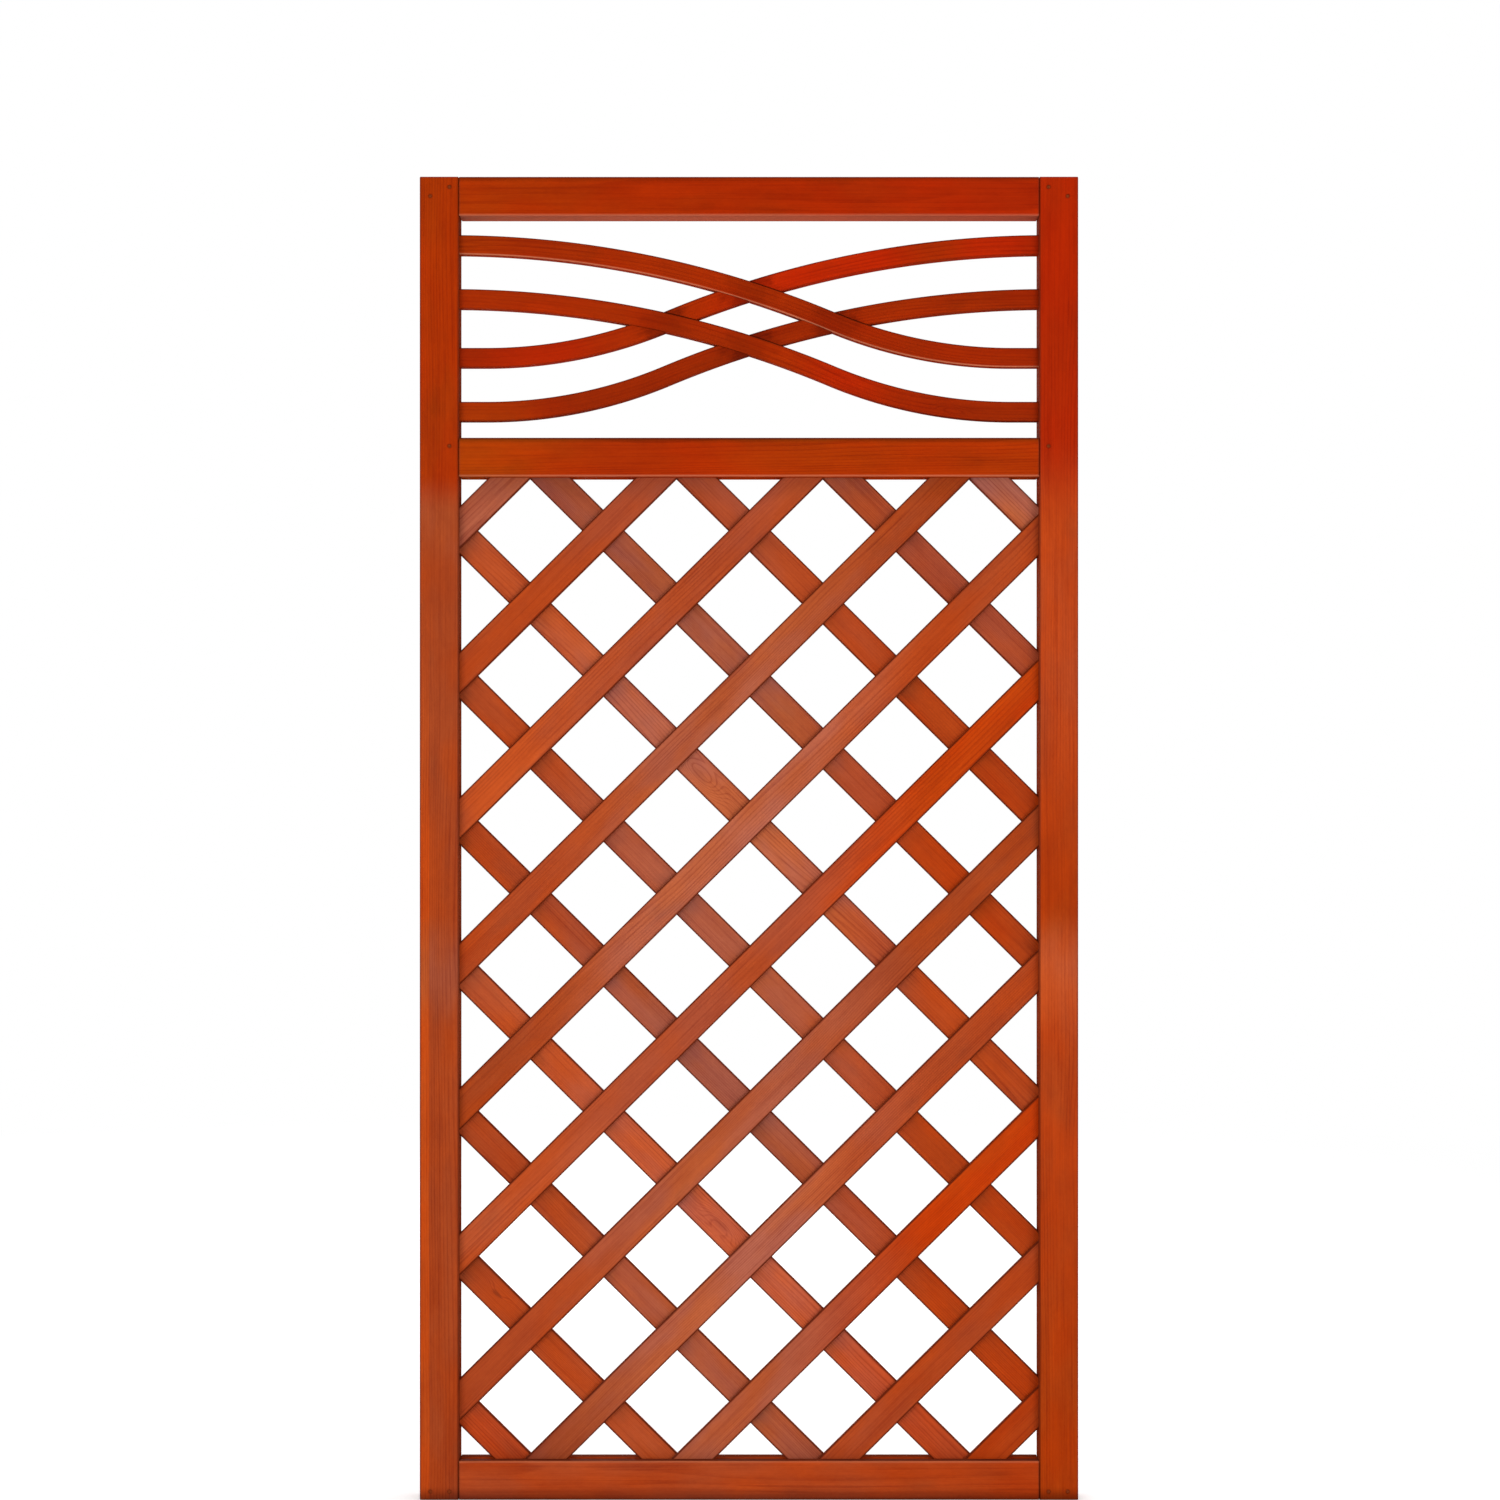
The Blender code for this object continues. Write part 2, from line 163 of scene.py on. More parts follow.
# Where the stain's hue leans and where it is thin and dull, and how much a knot's heart shows
HUE_SHIFT = (5.3, 1.7, 0.9)
HUE_WAVES = (8.0, 20.0, 20.0)
HUE_RAMP = (0.34, 0.66)
THIN_SHIFT = (9.1, 2.3, 4.7)
THIN_WAVES = (12.0, 28.0, 28.0)
THIN_RAMP = (0.58, 0.78, 0.0, 0.4)
HEART_SHOWS = 0.4

# Ramps in from a board's side and front, in shares of its edge line, and in from its end
SIDE_BY_WIDTH = (0.0, 0.5, 1.0, 0.0)
SIDE_BY_DEPTH = (0.3, 0.9)
ARRIS_BY_WIDTH = (0.3, 1.2, 1.0, 0.0)
ARRIS_BY_DEPTH = (0.1, 1.1, 1.0, 0.0)
END_RAMP = (0.0002, 0.0028, 0.5, 0.0)
# Streaks that break up the painted highlights on arrises
ARRIS_HIGHLIGHT_STREAKS = (0.3, 0.6, 0.7, 1.15)

# The lines of stain along the edges run this far in
STILE_EDGE_LINE = 0.0024
RAIL_EDGE_LINE = 0.003
SLAT_EDGE_LINE = 0.0021
LATH_EDGE_LINE = 0.0026

# The surface: its thin coat, which soaked sides mostly lose, its roughness and its relief
COAT = 0.05
COAT_LOSS = 0.8
COAT_ROUGHNESS = 0.28
FACE_ROUGHNESS = 0.36
CLOUD_ROUGHNESS = 0.16
SOAKED_ROUGHNESS = 0.12
FIBRE_RELIEF = 0.5
LATEWOOD_RELIEF = 0.35
RELIEF_STRENGTH = 0.35
RELIEF_DEPTH = 0.0004

# Knots: how they are stretched, how far they bend the rings, and how ragged their edges are
KNOT_STRETCH = (0.34, 1.0, 0.35)
KNOT_BEND = (0.4, 3.2, 1.0, 0.0)
KNOT_PUSH = 1.5
FEATHER_WAVES = (40.0, 420.0, 420.0)
FEATHER = 1.3
HEART_EDGE = (0.35, 1.25)

# Marks on the frame, among them a painted highlight on the top rail's underside
NAIL_RAMP = (0.00144, 0.0048, 0.6, 0.0)
UPPER_EDGE_REACH = 0.009
UPPER_EDGE_FULL = 0.0015
UNDERSIDE_FULL = 0.0002
UNDERSIDE_REACH = 0.0014
UNDERSIDE_SHARE = 0.34
FOOT_RAMP = (0.0, 0.02, 1.0, 0.0)
SAPWOOD_WAVES = (3.0, 0.0, 0.0)
SAPWOOD_WIDTH = 0.0105
SAPWOOD_WAVER = 0.005
SAPWOOD_RAMP = (-0.1, 0.45, 0.9, 0.1)

# Marks on the slats and laths, among them painted shade on the laths under the middle rail and below
# the front laths' crossings
JOINT_WAVES = (45.0, 90.0, 90.0)
JOINT_RAGGED = 0.06
JOINT_REACH = (0.042, 0.078)
UNDER_RAIL_REACH = 0.04
UNDER_RAIL_FULL = 0.008
UNDER_RAIL_SHARE = 0.6
SHADE_BELOW_CROSSING = (0.14, 0.36, 1.0, 0.0)
SHADE_BY_DEPTH = (-0.0035, -0.0005, 1.0, 0.0)
SHADE_WAVES = (6.0, 12.0, 1.0)
SHADE_PATCHES = (0.4, 0.6, 0.15, 0.95)

# Ranges to draw a board's wood from, and what is set for some boards
SEEDS = (1.0, 40.0)
LEANS = (-0.02, 0.02)
RING_WIDTHS = (0.0022, 0.0038)
PITHS_ACROSS = (-0.05, 0.05)
PITHS_DEPTH = (0.03, 0.09)
LATH_RING_WIDTHS = (0.0016, 0.0026)
LATH_PITHS_ACROSS = (0.02, 0.09)
LATH_PITHS_DEPTH = (0.015, 0.06)
EVEN_RING_WIDTH = 0.0024
STILE_PITH = (0.05, 0.05)
SLAT_PITH = (0.03, 0.05)
LATH_FIGURE = 0.9

# A half length past any board's, for boards whose ends are hidden
HIDDEN_ENDS = 2.0

# Stain tones, as screen colours
TONES = {
    "mahogany": (167, 43, 2), "vermilion": (171, 51, 2), "sienna": (171, 60, 2),
    "scarlet": (173, 37, 2), "chestnut": (155, 38, 2), "dusk": (166, 75, 42),
    "russet": (167, 66, 26), "rust": (177, 69, 28), "copper": (177, 62, 16),
    "ochre": (184, 68, 25), "orange": (191, 61, 6), "amber": (189, 80, 38),
    "brick": (174, 75, 42), "rose": (177, 87, 55), "clay": (184, 96, 66),
    "plum": (163, 78, 52), "tawny": (192, 72, 30), "apricot": (196, 92, 58),
    "mauve": (168, 85, 58), "umber": (150, 64, 36), "henna": (168, 56, 6),
    "cherry": (190, 38, 2),
}

# Each lath's tones from left to right, lowest lath first, and the places of the stops that they
# blend between, with two for the middle tone
FRONT_LATH_TONES = (
    "copper copper copper", "brick brick rust", "brick rose orange", "umber clay rust",
    "rust rose russet", "amber brick orange", "russet clay rust", "rust rose russet",
    "amber brick brick", "rust brick brick", "rose rose rose",
)
BACK_LATH_TONES = (
    "tawny tawny tawny", "rust amber amber", "rust rose plum", "amber apricot tawny",
    "rust mauve copper", "rust rose copper", "amber clay rust", "plum mauve copper",
    "brick brick copper", "amber rose brick", "clay clay clay",
)
LATH_STOPS = (-0.34, -0.08, 0.02, 0.26)

# The axis along which a board's tone changes, and its stops
STAINS = {
    "left_stile": ("Z", (
        (0.0, "russet"), (0.62, "russet"), (0.72, "dusk"), (0.8, "russet"), (1.24, "russet"),
        (1.34, "dusk"), (1.395, "vermilion"), (1.8, "vermilion"))),
    "right_stile": ("Z", (
        (0.0, "henna"), (0.6, "copper"), (0.72, "amber"), (0.81, "henna"), (1.15, "ochre"),
        (1.32, "ochre"), (1.45, "scarlet"), (1.8, "scarlet"))),
    "top_rail": ("X", ((-0.39, "vermilion"), (-0.1, "mahogany"), (0.39, "scarlet"))),
    "middle_rail": ("X", (
        (-0.39, "sienna"), (-0.17, "mahogany"), (0.1, "vermilion"), (0.39, "vermilion"))),
    "bottom_rail": ("X", ((-0.39, "rust"), (0.0, "rust"), (0.39, "copper"))),
    "curved_slat_upper_front": ("X", (
        (-0.4, "vermilion"), (-0.28, "mahogany"), (0.0, "mahogany"), (0.15, "chestnut"),
        (0.4, "chestnut"))),
    "curved_slat_lower_front": ("X", (
        (-0.4, "mahogany"), (-0.19, "mahogany"), (-0.08, "chestnut"), (0.04, "mahogany"),
        (0.13, "scarlet"), (0.22, "chestnut"), (0.4, "chestnut"))),
    "curved_slat_upper_back": ("X", (
        (-0.4, "chestnut"), (-0.28, "scarlet"), (-0.1, "mahogany"), (0.06, "cherry"),
        (0.16, "cherry"), (0.25, "mahogany"), (0.32, "cherry"), (0.4, "scarlet"))),
    "curved_slat_lower_back": ("X", (
        (-0.4, "vermilion"), (-0.34, "vermilion"), (-0.26, "chestnut"), (-0.05, "chestnut"),
        (0.2, "mahogany"), (0.4, "chestnut"))),
}

# How dark a board's upper and lower side and its upper and lower arris are, where less than 0 paints
# a highlight on the arris. The sides' darkening is partly soaked stain and partly painted shade,
# most on the stiles' inner sides and the bottom rail's top. On a stile the first of each pair is the
# right one
EDGE_STAIN_AND_LIGHT = {
    "left_stile": (0.78, 0.2, 0.6, 0.7),
    "right_stile": (0.2, 0.8, 0.7, 0.7),
    "top_rail": (0.3, 0.15, 0.6, -0.22),
    "middle_rail": (0.5, 0.15, 0.55, -0.3),
    "bottom_rail": (0.9, 0.4, -0.2, 0.4),
    "curved_slat_upper_front": (0.5, 0.3, 0.75, -0.5),
    "curved_slat_lower_front": (0.5, 0.3, 0.75, 0.15),
    "curved_slat_upper_back": (0.5, 0.3, 0.75, 0.3),
    "curved_slat_lower_back": (0.5, 0.3, 0.75, 0.3),
}
# Laths: sides darkened partly by painted shade, arrises dark with stain
LATH_EDGE_STAIN_AND_LIGHT = (0.75, 0.75, 0.95, 0.95)

# Knots: place along and across the board, size, and how dark the heart is
KNOTS = {
    "back_lath_07": ((-0.092, -0.004, 0.0065, 0.25),),
    "back_lath_04": ((-0.055, 0.004, 0.0055, 0.3),),
    "back_lath_02": ((-0.487, 0.002, 0.0035, 0.9),),
    "curved_slat_lower_front": ((0.7, -0.002, 0.0028, 1.0), (0.718, -0.004, 0.0022, 1.0)),
}

# How much two rails darken towards their upper edge, and how much stain pooled at the joints of a
# layer's slats
UPPER_EDGE_STRENGTH = {"top_rail": 0.5, "middle_rail": 0.75}
JOINT_STRENGTH = {"front": 0.35, "back": 0.8}

# A mix node's sockets for colours, which share their names with its sockets for numbers
MIX_FIRST = 6
MIX_SECOND = 7
MIX_RESULT = 2

# The wood's node group: what it takes and what it gives
SOFTWOOD_INPUTS = {
    'NodeSocketVector': ("Place",),
    'NodeSocketColor': ("Stain",),
    'NodeSocketFloat': (
        "Half Face", "Half Depth", "Half Length", "Seed", "Ring Width", "Pith Across",
        "Pith Depth", "Lean", "Figure", "Ring Shift", "Knot", "Dull", "Edge Line", "High Side",
        "Low Side", "High Arris", "Low Arris"),
}
SOFTWOOD_OUTPUTS = {
    'NodeSocketColor': ("Color",),
    'NodeSocketFloat': ("Roughness", "Height", "Coat"),
}


def screen_colour(name):
    """A tone's linear colour, by the sRGB curve."""
    channels = []
    for value in TONES[name]:
        share = value / 255
        channels.append(share / 12.92 if share <= 0.04045 else ((share + 0.055) / 1.055) ** 2.4)
    return (*channels, 1.0)


class Graph:
    """Adds nodes to a material or a group, and links their sockets."""

    def __init__(self, tree):
        self.tree = tree

    def add(self, kind, inputs=None, **settings):
        """A new node with its settings, and its inputs linked or set."""
        node = self.tree.nodes.new(kind)
        for name, value in settings.items():
            setattr(node, name, value)
        for name, value in (inputs or {}).items():
            self.feed(node.inputs[name], value)
        return node

    def feed(self, socket, value):
        """Link a socket to another one, or set its value."""
        if isinstance(value, bpy.types.NodeSocket):
            self.tree.links.new(value, socket)
        else:
            socket.default_value = value

    def math(self, operation, *values):
        """A math node's result."""
        node = self.add("ShaderNodeMath", dict(enumerate(values)), operation=operation)
        return node.outputs[0]

    def vector(self, operation, *values):
        """A vector math node's vector result."""
        node = self.add("ShaderNodeVectorMath", dict(enumerate(values)), operation=operation)
        return node.outputs["Vector"]

    def length(self, vector):
        """A vector's length."""
        return self.add("ShaderNodeVectorMath", {0: vector}, operation='LENGTH').outputs["Value"]

    def combine(self, x, y, z):
        """Three numbers as a vector."""
        return self.add("ShaderNodeCombineXYZ", {"X": x, "Y": y, "Z": z}).outputs[0]

    def separate(self, vector):
        """A vector's three numbers."""
        return self.add("ShaderNodeSeparateXYZ", {"Vector": vector}).outputs

    def panel_place(self):
        """The place in the panel, whose axes every object shares."""
        return self.add("ShaderNodeTexCoord").outputs["Object"]

    def ramp(self, value, low, high, start=0.0, end=1.0, way='SMOOTHSTEP'):
        """From start to end as value goes from low to high, in a smooth step or evenly."""
        node = self.add("ShaderNodeMapRange", {
            "Value": value, "From Min": low, "From Max": high, "To Min": start, "To Max": end,
        }, interpolation_type=way)
        return node.outputs[0]

    def noise(self, vector, waves, detail=2.0, roughness=0.5):
        """Noise from 0 to 1, with its own number of waves along each axis."""
        place = self.vector('MULTIPLY', vector, waves)
        node = self.add("ShaderNodeTexNoise", {
            "Vector": place, "Scale": 1.0, "Detail": detail, "Roughness": roughness,
        })
        return node.outputs["Fac"]

    def mix(self, share, first, second, blend='MIX'):
        """Two colours mixed or multiplied."""
        node = self.add("ShaderNodeMix", data_type='RGBA', blend_type=blend)
        self.feed(node.inputs["Factor"], share)
        self.feed(node.inputs[MIX_FIRST], first)
        self.feed(node.inputs[MIX_SECOND], second)
        return node.outputs[MIX_RESULT]

    def tinted(self, share, colour, tint):
        """A colour that a tint multiplies where share is 1."""
        return self.mix(share, colour, self.mix(1.0, colour, tint, 'MULTIPLY'))


def latewood_bands(graph, given, grain):
    """Dark bands in rings about a pith that leans across the board."""
    along, across, depth = graph.separate(given["Place"])
    leaning = graph.math('MULTIPLY', along, given["Lean"])
    from_pith = graph.combine(
        0.0,
        graph.math('SUBTRACT', graph.math('SUBTRACT', across, given["Pith Across"]), leaning),
        graph.math('SUBTRACT', depth, given["Pith Depth"]))
    wander = graph.noise(grain, WANDER_WAVES)
    moved = graph.math('MULTIPLY_ADD', wander, WANDER, given["Ring Shift"])
    radius = graph.math('ADD', graph.length(from_pith), moved)
    seeded = graph.combine(graph.math('ADD', radius, given["Seed"]), 0.0, 0.0)
    spacing = graph.noise(seeded, SPACING_WAVES, 1.0)
    rings = graph.math('DIVIDE', radius, given["Ring Width"])
    share = graph.math('FRACT', graph.math('MULTIPLY_ADD', spacing, SPACING, rings))
    latewood = graph.math('MULTIPLY', graph.ramp(share, *LATEWOOD_RISE),
                          graph.ramp(share, *LATEWOOD_END))
    fading = graph.ramp(graph.noise(grain, FADING_WAVES), *FADING)
    return graph.math('MULTIPLY', latewood, fading)


def grain_textures(graph, grain):
    """Fibres, thin dark lines, longer streaks, clouds of stain, specks and a slow drift."""
    textures = {}
    for name, (waves, detail, roughness, _) in TEXTURES.items():
        textures[name] = graph.noise(grain, waves, detail, roughness)
    textures["lines"] = graph.ramp(textures["lines"], *LINE_RAMP)
    return textures


def grain_tint(graph, given, latewood, textures):
    """How dark the grain is, from 0 to 1."""
    figure = graph.math('MULTIPLY', given["Figure"], LATEWOOD_TINT)
    tint = graph.math('MULTIPLY', latewood, figure)
    for name, (_, _, _, weight) in TEXTURES.items():
        centred = graph.math('SUBTRACT', textures[name], 0.5)
        tint = graph.math('MULTIPLY_ADD', centred, weight, tint)
    tint = graph.math('MULTIPLY_ADD', given["Knot"], KNOT_TINT, tint)
    return graph.ramp(tint, *TINT_RANGE, way='LINEAR')


def toned_stain(graph, given, grain, tint):
    """The stain in pale and dark grain, leaning to orange or brick, and dull where it is thin or
    where shade is painted.
    """
    toned = graph.mix(1.0, given["Stain"], graph.mix(tint, PALE_GRAIN, DARK_GRAIN), 'MULTIPLY')
    leaning = graph.noise(graph.vector('ADD', grain, HUE_SHIFT), HUE_WAVES)
    hue = graph.mix(graph.ramp(leaning, *HUE_RAMP), TO_ORANGE, TO_BRICK)
    toned = graph.mix(1.0, toned, hue, 'MULTIPLY')
    thin = graph.noise(graph.vector('ADD', grain, THIN_SHIFT), THIN_WAVES)
    dull = graph.math('MAXIMUM', given["Dull"], graph.ramp(thin, *THIN_RAMP))
    toned = graph.tinted(dull, toned, DULLED_AND_SHADED)
    return graph.mix(graph.math('MULTIPLY', given["Knot"], HEART_SHOWS), toned, KNOT_HEART)


def edge_shares(graph, given):
    """How far a place is on a side, how dark soaked stain and painted shade make it, and how dark
    its arris is, below 0 where a highlight is painted.
    """
    along, across, depth = graph.separate(given["Place"])
    gaps = {}
    for half, distance in (("Half Face", across), ("Half Depth", depth), ("Half Length", along)):
        gaps[half] = graph.math('SUBTRACT', given[half], graph.math('ABSOLUTE', distance))
    by_width = graph.math('DIVIDE', gaps["Half Face"], given["Edge Line"])
    by_depth = graph.math('DIVIDE', gaps["Half Depth"], given["Edge Line"])
    side = graph.math('MULTIPLY', graph.ramp(by_width, *SIDE_BY_WIDTH),
                      graph.ramp(by_depth, *SIDE_BY_DEPTH))
    arris = graph.math('MULTIPLY', graph.ramp(by_width, *ARRIS_BY_WIDTH),
                       graph.ramp(by_depth, *ARRIS_BY_DEPTH))
    high = graph.math('GREATER_THAN', across, 0.0)
    side_lie, arris_lie = (
        graph.ramp(high, 0.0, 1.0, given["Low " + place], given["High " + place], 'LINEAR')
        for place in ("Side", "Arris"))
    pooled = graph.math('MAXIMUM', graph.math('MULTIPLY', side, side_lie),
                        graph.ramp(gaps["Half Length"], *END_RAMP))
    return side, pooled, graph.math('MULTIPLY', arris, arris_lie)


def edged_stain(graph, toned, tint, streaks, pooled, arris):
    """The stain darkened on sides and ends by soaked stain and painted shade, dark on arrises, and
    lightened by a painted highlight where the arris share is below 0.
    """
    toned = graph.mix(pooled, toned, graph.mix(tint, SOAKED_AND_SHADED_PALE, SOAKED_AND_SHADED_DARK))
    toned = graph.mix(graph.math('MAXIMUM', arris, 0.0), toned, DARK_ARRIS)
    painted_highlight = graph.math('MAXIMUM', graph.math('MULTIPLY', arris, -1.0), 0.0)
    painted_highlight = graph.math('MULTIPLY', painted_highlight, graph.ramp(streaks, *ARRIS_HIGHLIGHT_STREAKS))
    return graph.mix(painted_highlight, toned, PAINTED_ARRIS_HIGHLIGHT)


def softwood_group():
    """Growth rings, fibres, clouds of stain, and dark edges with painted shade and highlights,
    around a board's own coordinates.
    """
    tree = bpy.data.node_groups.new("stained_softwood", 'ShaderNodeTree')
    for in_out, sockets in (('INPUT', SOFTWOOD_INPUTS), ('OUTPUT', SOFTWOOD_OUTPUTS)):
        for kind, names in sockets.items():
            for name in names:
                tree.interface.new_socket(name, in_out=in_out, socket_type=kind)
    graph = Graph(tree)
    given = graph.add("NodeGroupInput").outputs
    seed = graph.combine(given["Seed"], given["Seed"], given["Seed"])
    grain = graph.vector('ADD', given["Place"], graph.vector('MULTIPLY', seed, SEED_SHIFT))

    latewood = latewood_bands(graph, given, grain)
    textures = grain_textures(graph, grain)
    tint = grain_tint(graph, given, latewood, textures)
    toned = toned_stain(graph, given, grain, tint)
    side, pooled, arris = edge_shares(graph, given)
    colour = edged_stain(graph, toned, tint, textures["streaks"], pooled, arris)

    rough = graph.math('MULTIPLY_ADD', textures["clouds"], CLOUD_ROUGHNESS, FACE_ROUGHNESS)
    rough = graph.math('MULTIPLY_ADD', pooled, SOAKED_ROUGHNESS, rough)
    height = graph.math('MULTIPLY_ADD', textures["fibres"], FIBRE_RELIEF,
                        graph.math('MULTIPLY', latewood, LATEWOOD_RELIEF))
    graph.add("NodeGroupOutput", {
        "Color": colour, "Roughness": rough, "Height": height,
        "Coat": graph.math('MULTIPLY_ADD', side, -COAT_LOSS * COAT, COAT),
    })
    return tree


def board_place(graph, centre, along_axis):
    """A frame member's own coordinates: along it, across its face, and through its depth."""
    moved = graph.separate(graph.vector('SUBTRACT', graph.panel_place(), tuple(centre)))
    along, across = ("Z", "X") if along_axis == 'Z' else ("X", "Z")
    return graph.combine(moved[along], moved[across], moved["Y"])


def mesh_place(graph):
    """The board coordinates that a lath or slat carries on its mesh."""
    return graph.add("ShaderNodeAttribute", attribute_name="grain").outputs["Vector"]


def stain_blend(graph, axis, stops):
    """The stain's tone as it changes from stop to stop along one of the panel's axes."""
    low, high = stops[0][0], stops[-1][0]
    distance = graph.separate(graph.panel_place())[axis]
    share = graph.ramp(distance, low, high, way='LINEAR')
    node = graph.add("ShaderNodeValToRGB", {"Fac": share})
    node.color_ramp.interpolation = 'EASE'
    elements = node.color_ramp.elements
    while len(elements) < len(stops):
        elements.new(0.5)
    for element, (place, tone) in zip(elements, stops):
        element.position = (place - low) / (high - low)
        element.color = screen_colour(tone)
    return node.outputs["Color"]


def knots_at(graph, place, knots):
    """How knots bend the rings round them, and how dark they are."""
    shift = 0.0
    darkness = 0.0
    for along, across, size, depth in knots:
        offset = graph.vector('SUBTRACT', place, (along, across, 0.0))
        scaled = graph.vector('MULTIPLY', offset, tuple(share / size for share in KNOT_STRETCH))
        distance = graph.length(scaled)
        shift = graph.math('MULTIPLY_ADD', graph.ramp(distance, *KNOT_BEND), size * KNOT_PUSH, shift)
        feather = graph.noise(place, FEATHER_WAVES, 3.0, 0.6)
        reach = graph.math('MULTIPLY_ADD', feather, FEATHER,
                           graph.math('SUBTRACT', distance, FEATHER / 2))
        heart = graph.ramp(reach, *HEART_EDGE, depth, 0.0)
        darkness = graph.math('MAXIMUM', heart, darkness)
    return shift, darkness


def nearest_point(graph, points):
    """The distance in the panel's plane to the nearest of some points, up to a metre."""
    place = graph.separate(graph.panel_place())
    flat = graph.combine(place["X"], 0.0, place["Z"])
    nearest = 1.0
    for x, z in points:
        gap = graph.add("ShaderNodeVectorMath", {0: flat, 1: (x, 0.0, z)}, operation='DISTANCE')
        nearest = graph.math('MINIMUM', gap.outputs["Value"], nearest)
    return nearest


def nail_stain(graph, place, colour, nails):
    """Stain that darkened round the nail heads on the front face."""
    depth = graph.separate(place)["Z"]
    on_front = graph.ramp(depth, FRONT + FRAME_ARRIS, FRONT + 2 * FRAME_ARRIS, 1.0, 0.0)
    near = graph.ramp(nearest_point(graph, nails), *NAIL_RAMP)
    return graph.tinted(graph.math('MULTIPLY', near, on_front), colour, DARKENED)


def joint_stain(graph, place, colour, joints, strength):
    """Patches of stain that pooled where one curved slat is let into another."""
    patches = graph.noise(place, JOINT_WAVES, 3.0, 0.6)
    distance = graph.math('MULTIPLY_ADD', patches, JOINT_RAGGED, nearest_point(graph, joints))
    return graph.tinted(graph.ramp(distance, *JOINT_REACH, strength, 0.0), colour, DARKENED)


def darken_upper_edge(graph, place, colour, strength):
    """Darken a rail's face towards its upper edge, fading down the face."""
    across = graph.separate(place)["Y"]
    share = graph.ramp(across, RAIL_HALF_FACE - UPPER_EDGE_REACH, RAIL_HALF_FACE - UPPER_EDGE_FULL, 0.0, strength)
    return graph.tinted(share, colour, UPPER_EDGE_DARKENING)


def painted_underside_highlight(graph, place, colour):
    """A painted highlight, pale and pink, on the top rail's underside and lowest arris."""
    across = graph.separate(place)["Y"]
    share = graph.ramp(across, UNDERSIDE_FULL - RAIL_HALF_FACE, UNDERSIDE_REACH - RAIL_HALF_FACE,
                       UNDERSIDE_SHARE, 0.0)
    return graph.mix(share, colour, UNDERSIDE_HIGHLIGHT)


def darken_foot(graph, _, colour):
    """Darken the boards towards the panel's bottom edge."""
    level = graph.separate(graph.panel_place())["Z"]
    return graph.tinted(graph.ramp(level, *FOOT_RAMP), colour, FOOT_DARKENING)


def sapwood_stripe(graph, place, colour):
    """A paler strip of sapwood along the left stile's outer side."""
    along, across, _ = graph.separate(place)
    waver = graph.noise(place, SAPWOOD_WAVES, 3.0)
    edge = graph.math('MULTIPLY_ADD', waver, SAPWOOD_WAVER, SAPWOOD_WIDTH)
    inward = graph.math('ADD', across, STILE_WIDTH / 2)
    strip = graph.math('LESS_THAN', inward, edge)
    lower = graph.ramp(along, *SAPWOOD_RAMP)
    on_face = graph.math('LESS_THAN', FRAME_ARRIS / 2, inward)
    share = graph.math('MULTIPLY', strip, graph.math('MULTIPLY', lower, on_face))
    return graph.tinted(share, colour, SAPWOOD)


def crossing_painted_shade(graph, place, first_crossing):
    """Painted shade that the front laths cast on the back ones: below each crossing, fading out."""
    along, _, depth = graph.separate(place)
    pitch = LATTICE_PITCH / 2 / math.sin(LATH_ANGLE)
    past_first = graph.math('SUBTRACT', along, first_crossing)
    share = graph.math('FRACT', graph.math('DIVIDE', past_first, pitch))
    shade = graph.math('MULTIPLY', graph.ramp(share, *SHADE_BELOW_CROSSING),
                       graph.ramp(depth, *SHADE_BY_DEPTH))
    shifted = graph.vector('ADD', place, (first_crossing, 0.0, 0.0))
    patches = graph.ramp(graph.noise(shifted, SHADE_WAVES), *SHADE_PATCHES)
    return graph.math('MULTIPLY', shade, patches)


def lath_painted_shade(graph, place, first_crossing=None):
    """Painted shade under the middle rail, and on the back layer below the front laths' crossings.
    """
    height = graph.separate(graph.panel_place())["Z"]
    painted_shade_under_rail = graph.ramp(height, MIDDLE_LOW.z - UNDER_RAIL_REACH,
                            MIDDLE_LOW.z - UNDER_RAIL_FULL, 0.0, UNDER_RAIL_SHARE)
    if first_crossing is None:
        return painted_shade_under_rail
    return graph.math('MAXIMUM', painted_shade_under_rail, crossing_painted_shade(graph, place, first_crossing))


def new_material(name):
    """A material, its graph and its shader."""
    material = bpy.data.materials.new(name)
    material.use_nodes = True
    return material, Graph(material.node_tree), material.node_tree.nodes["Principled BSDF"]


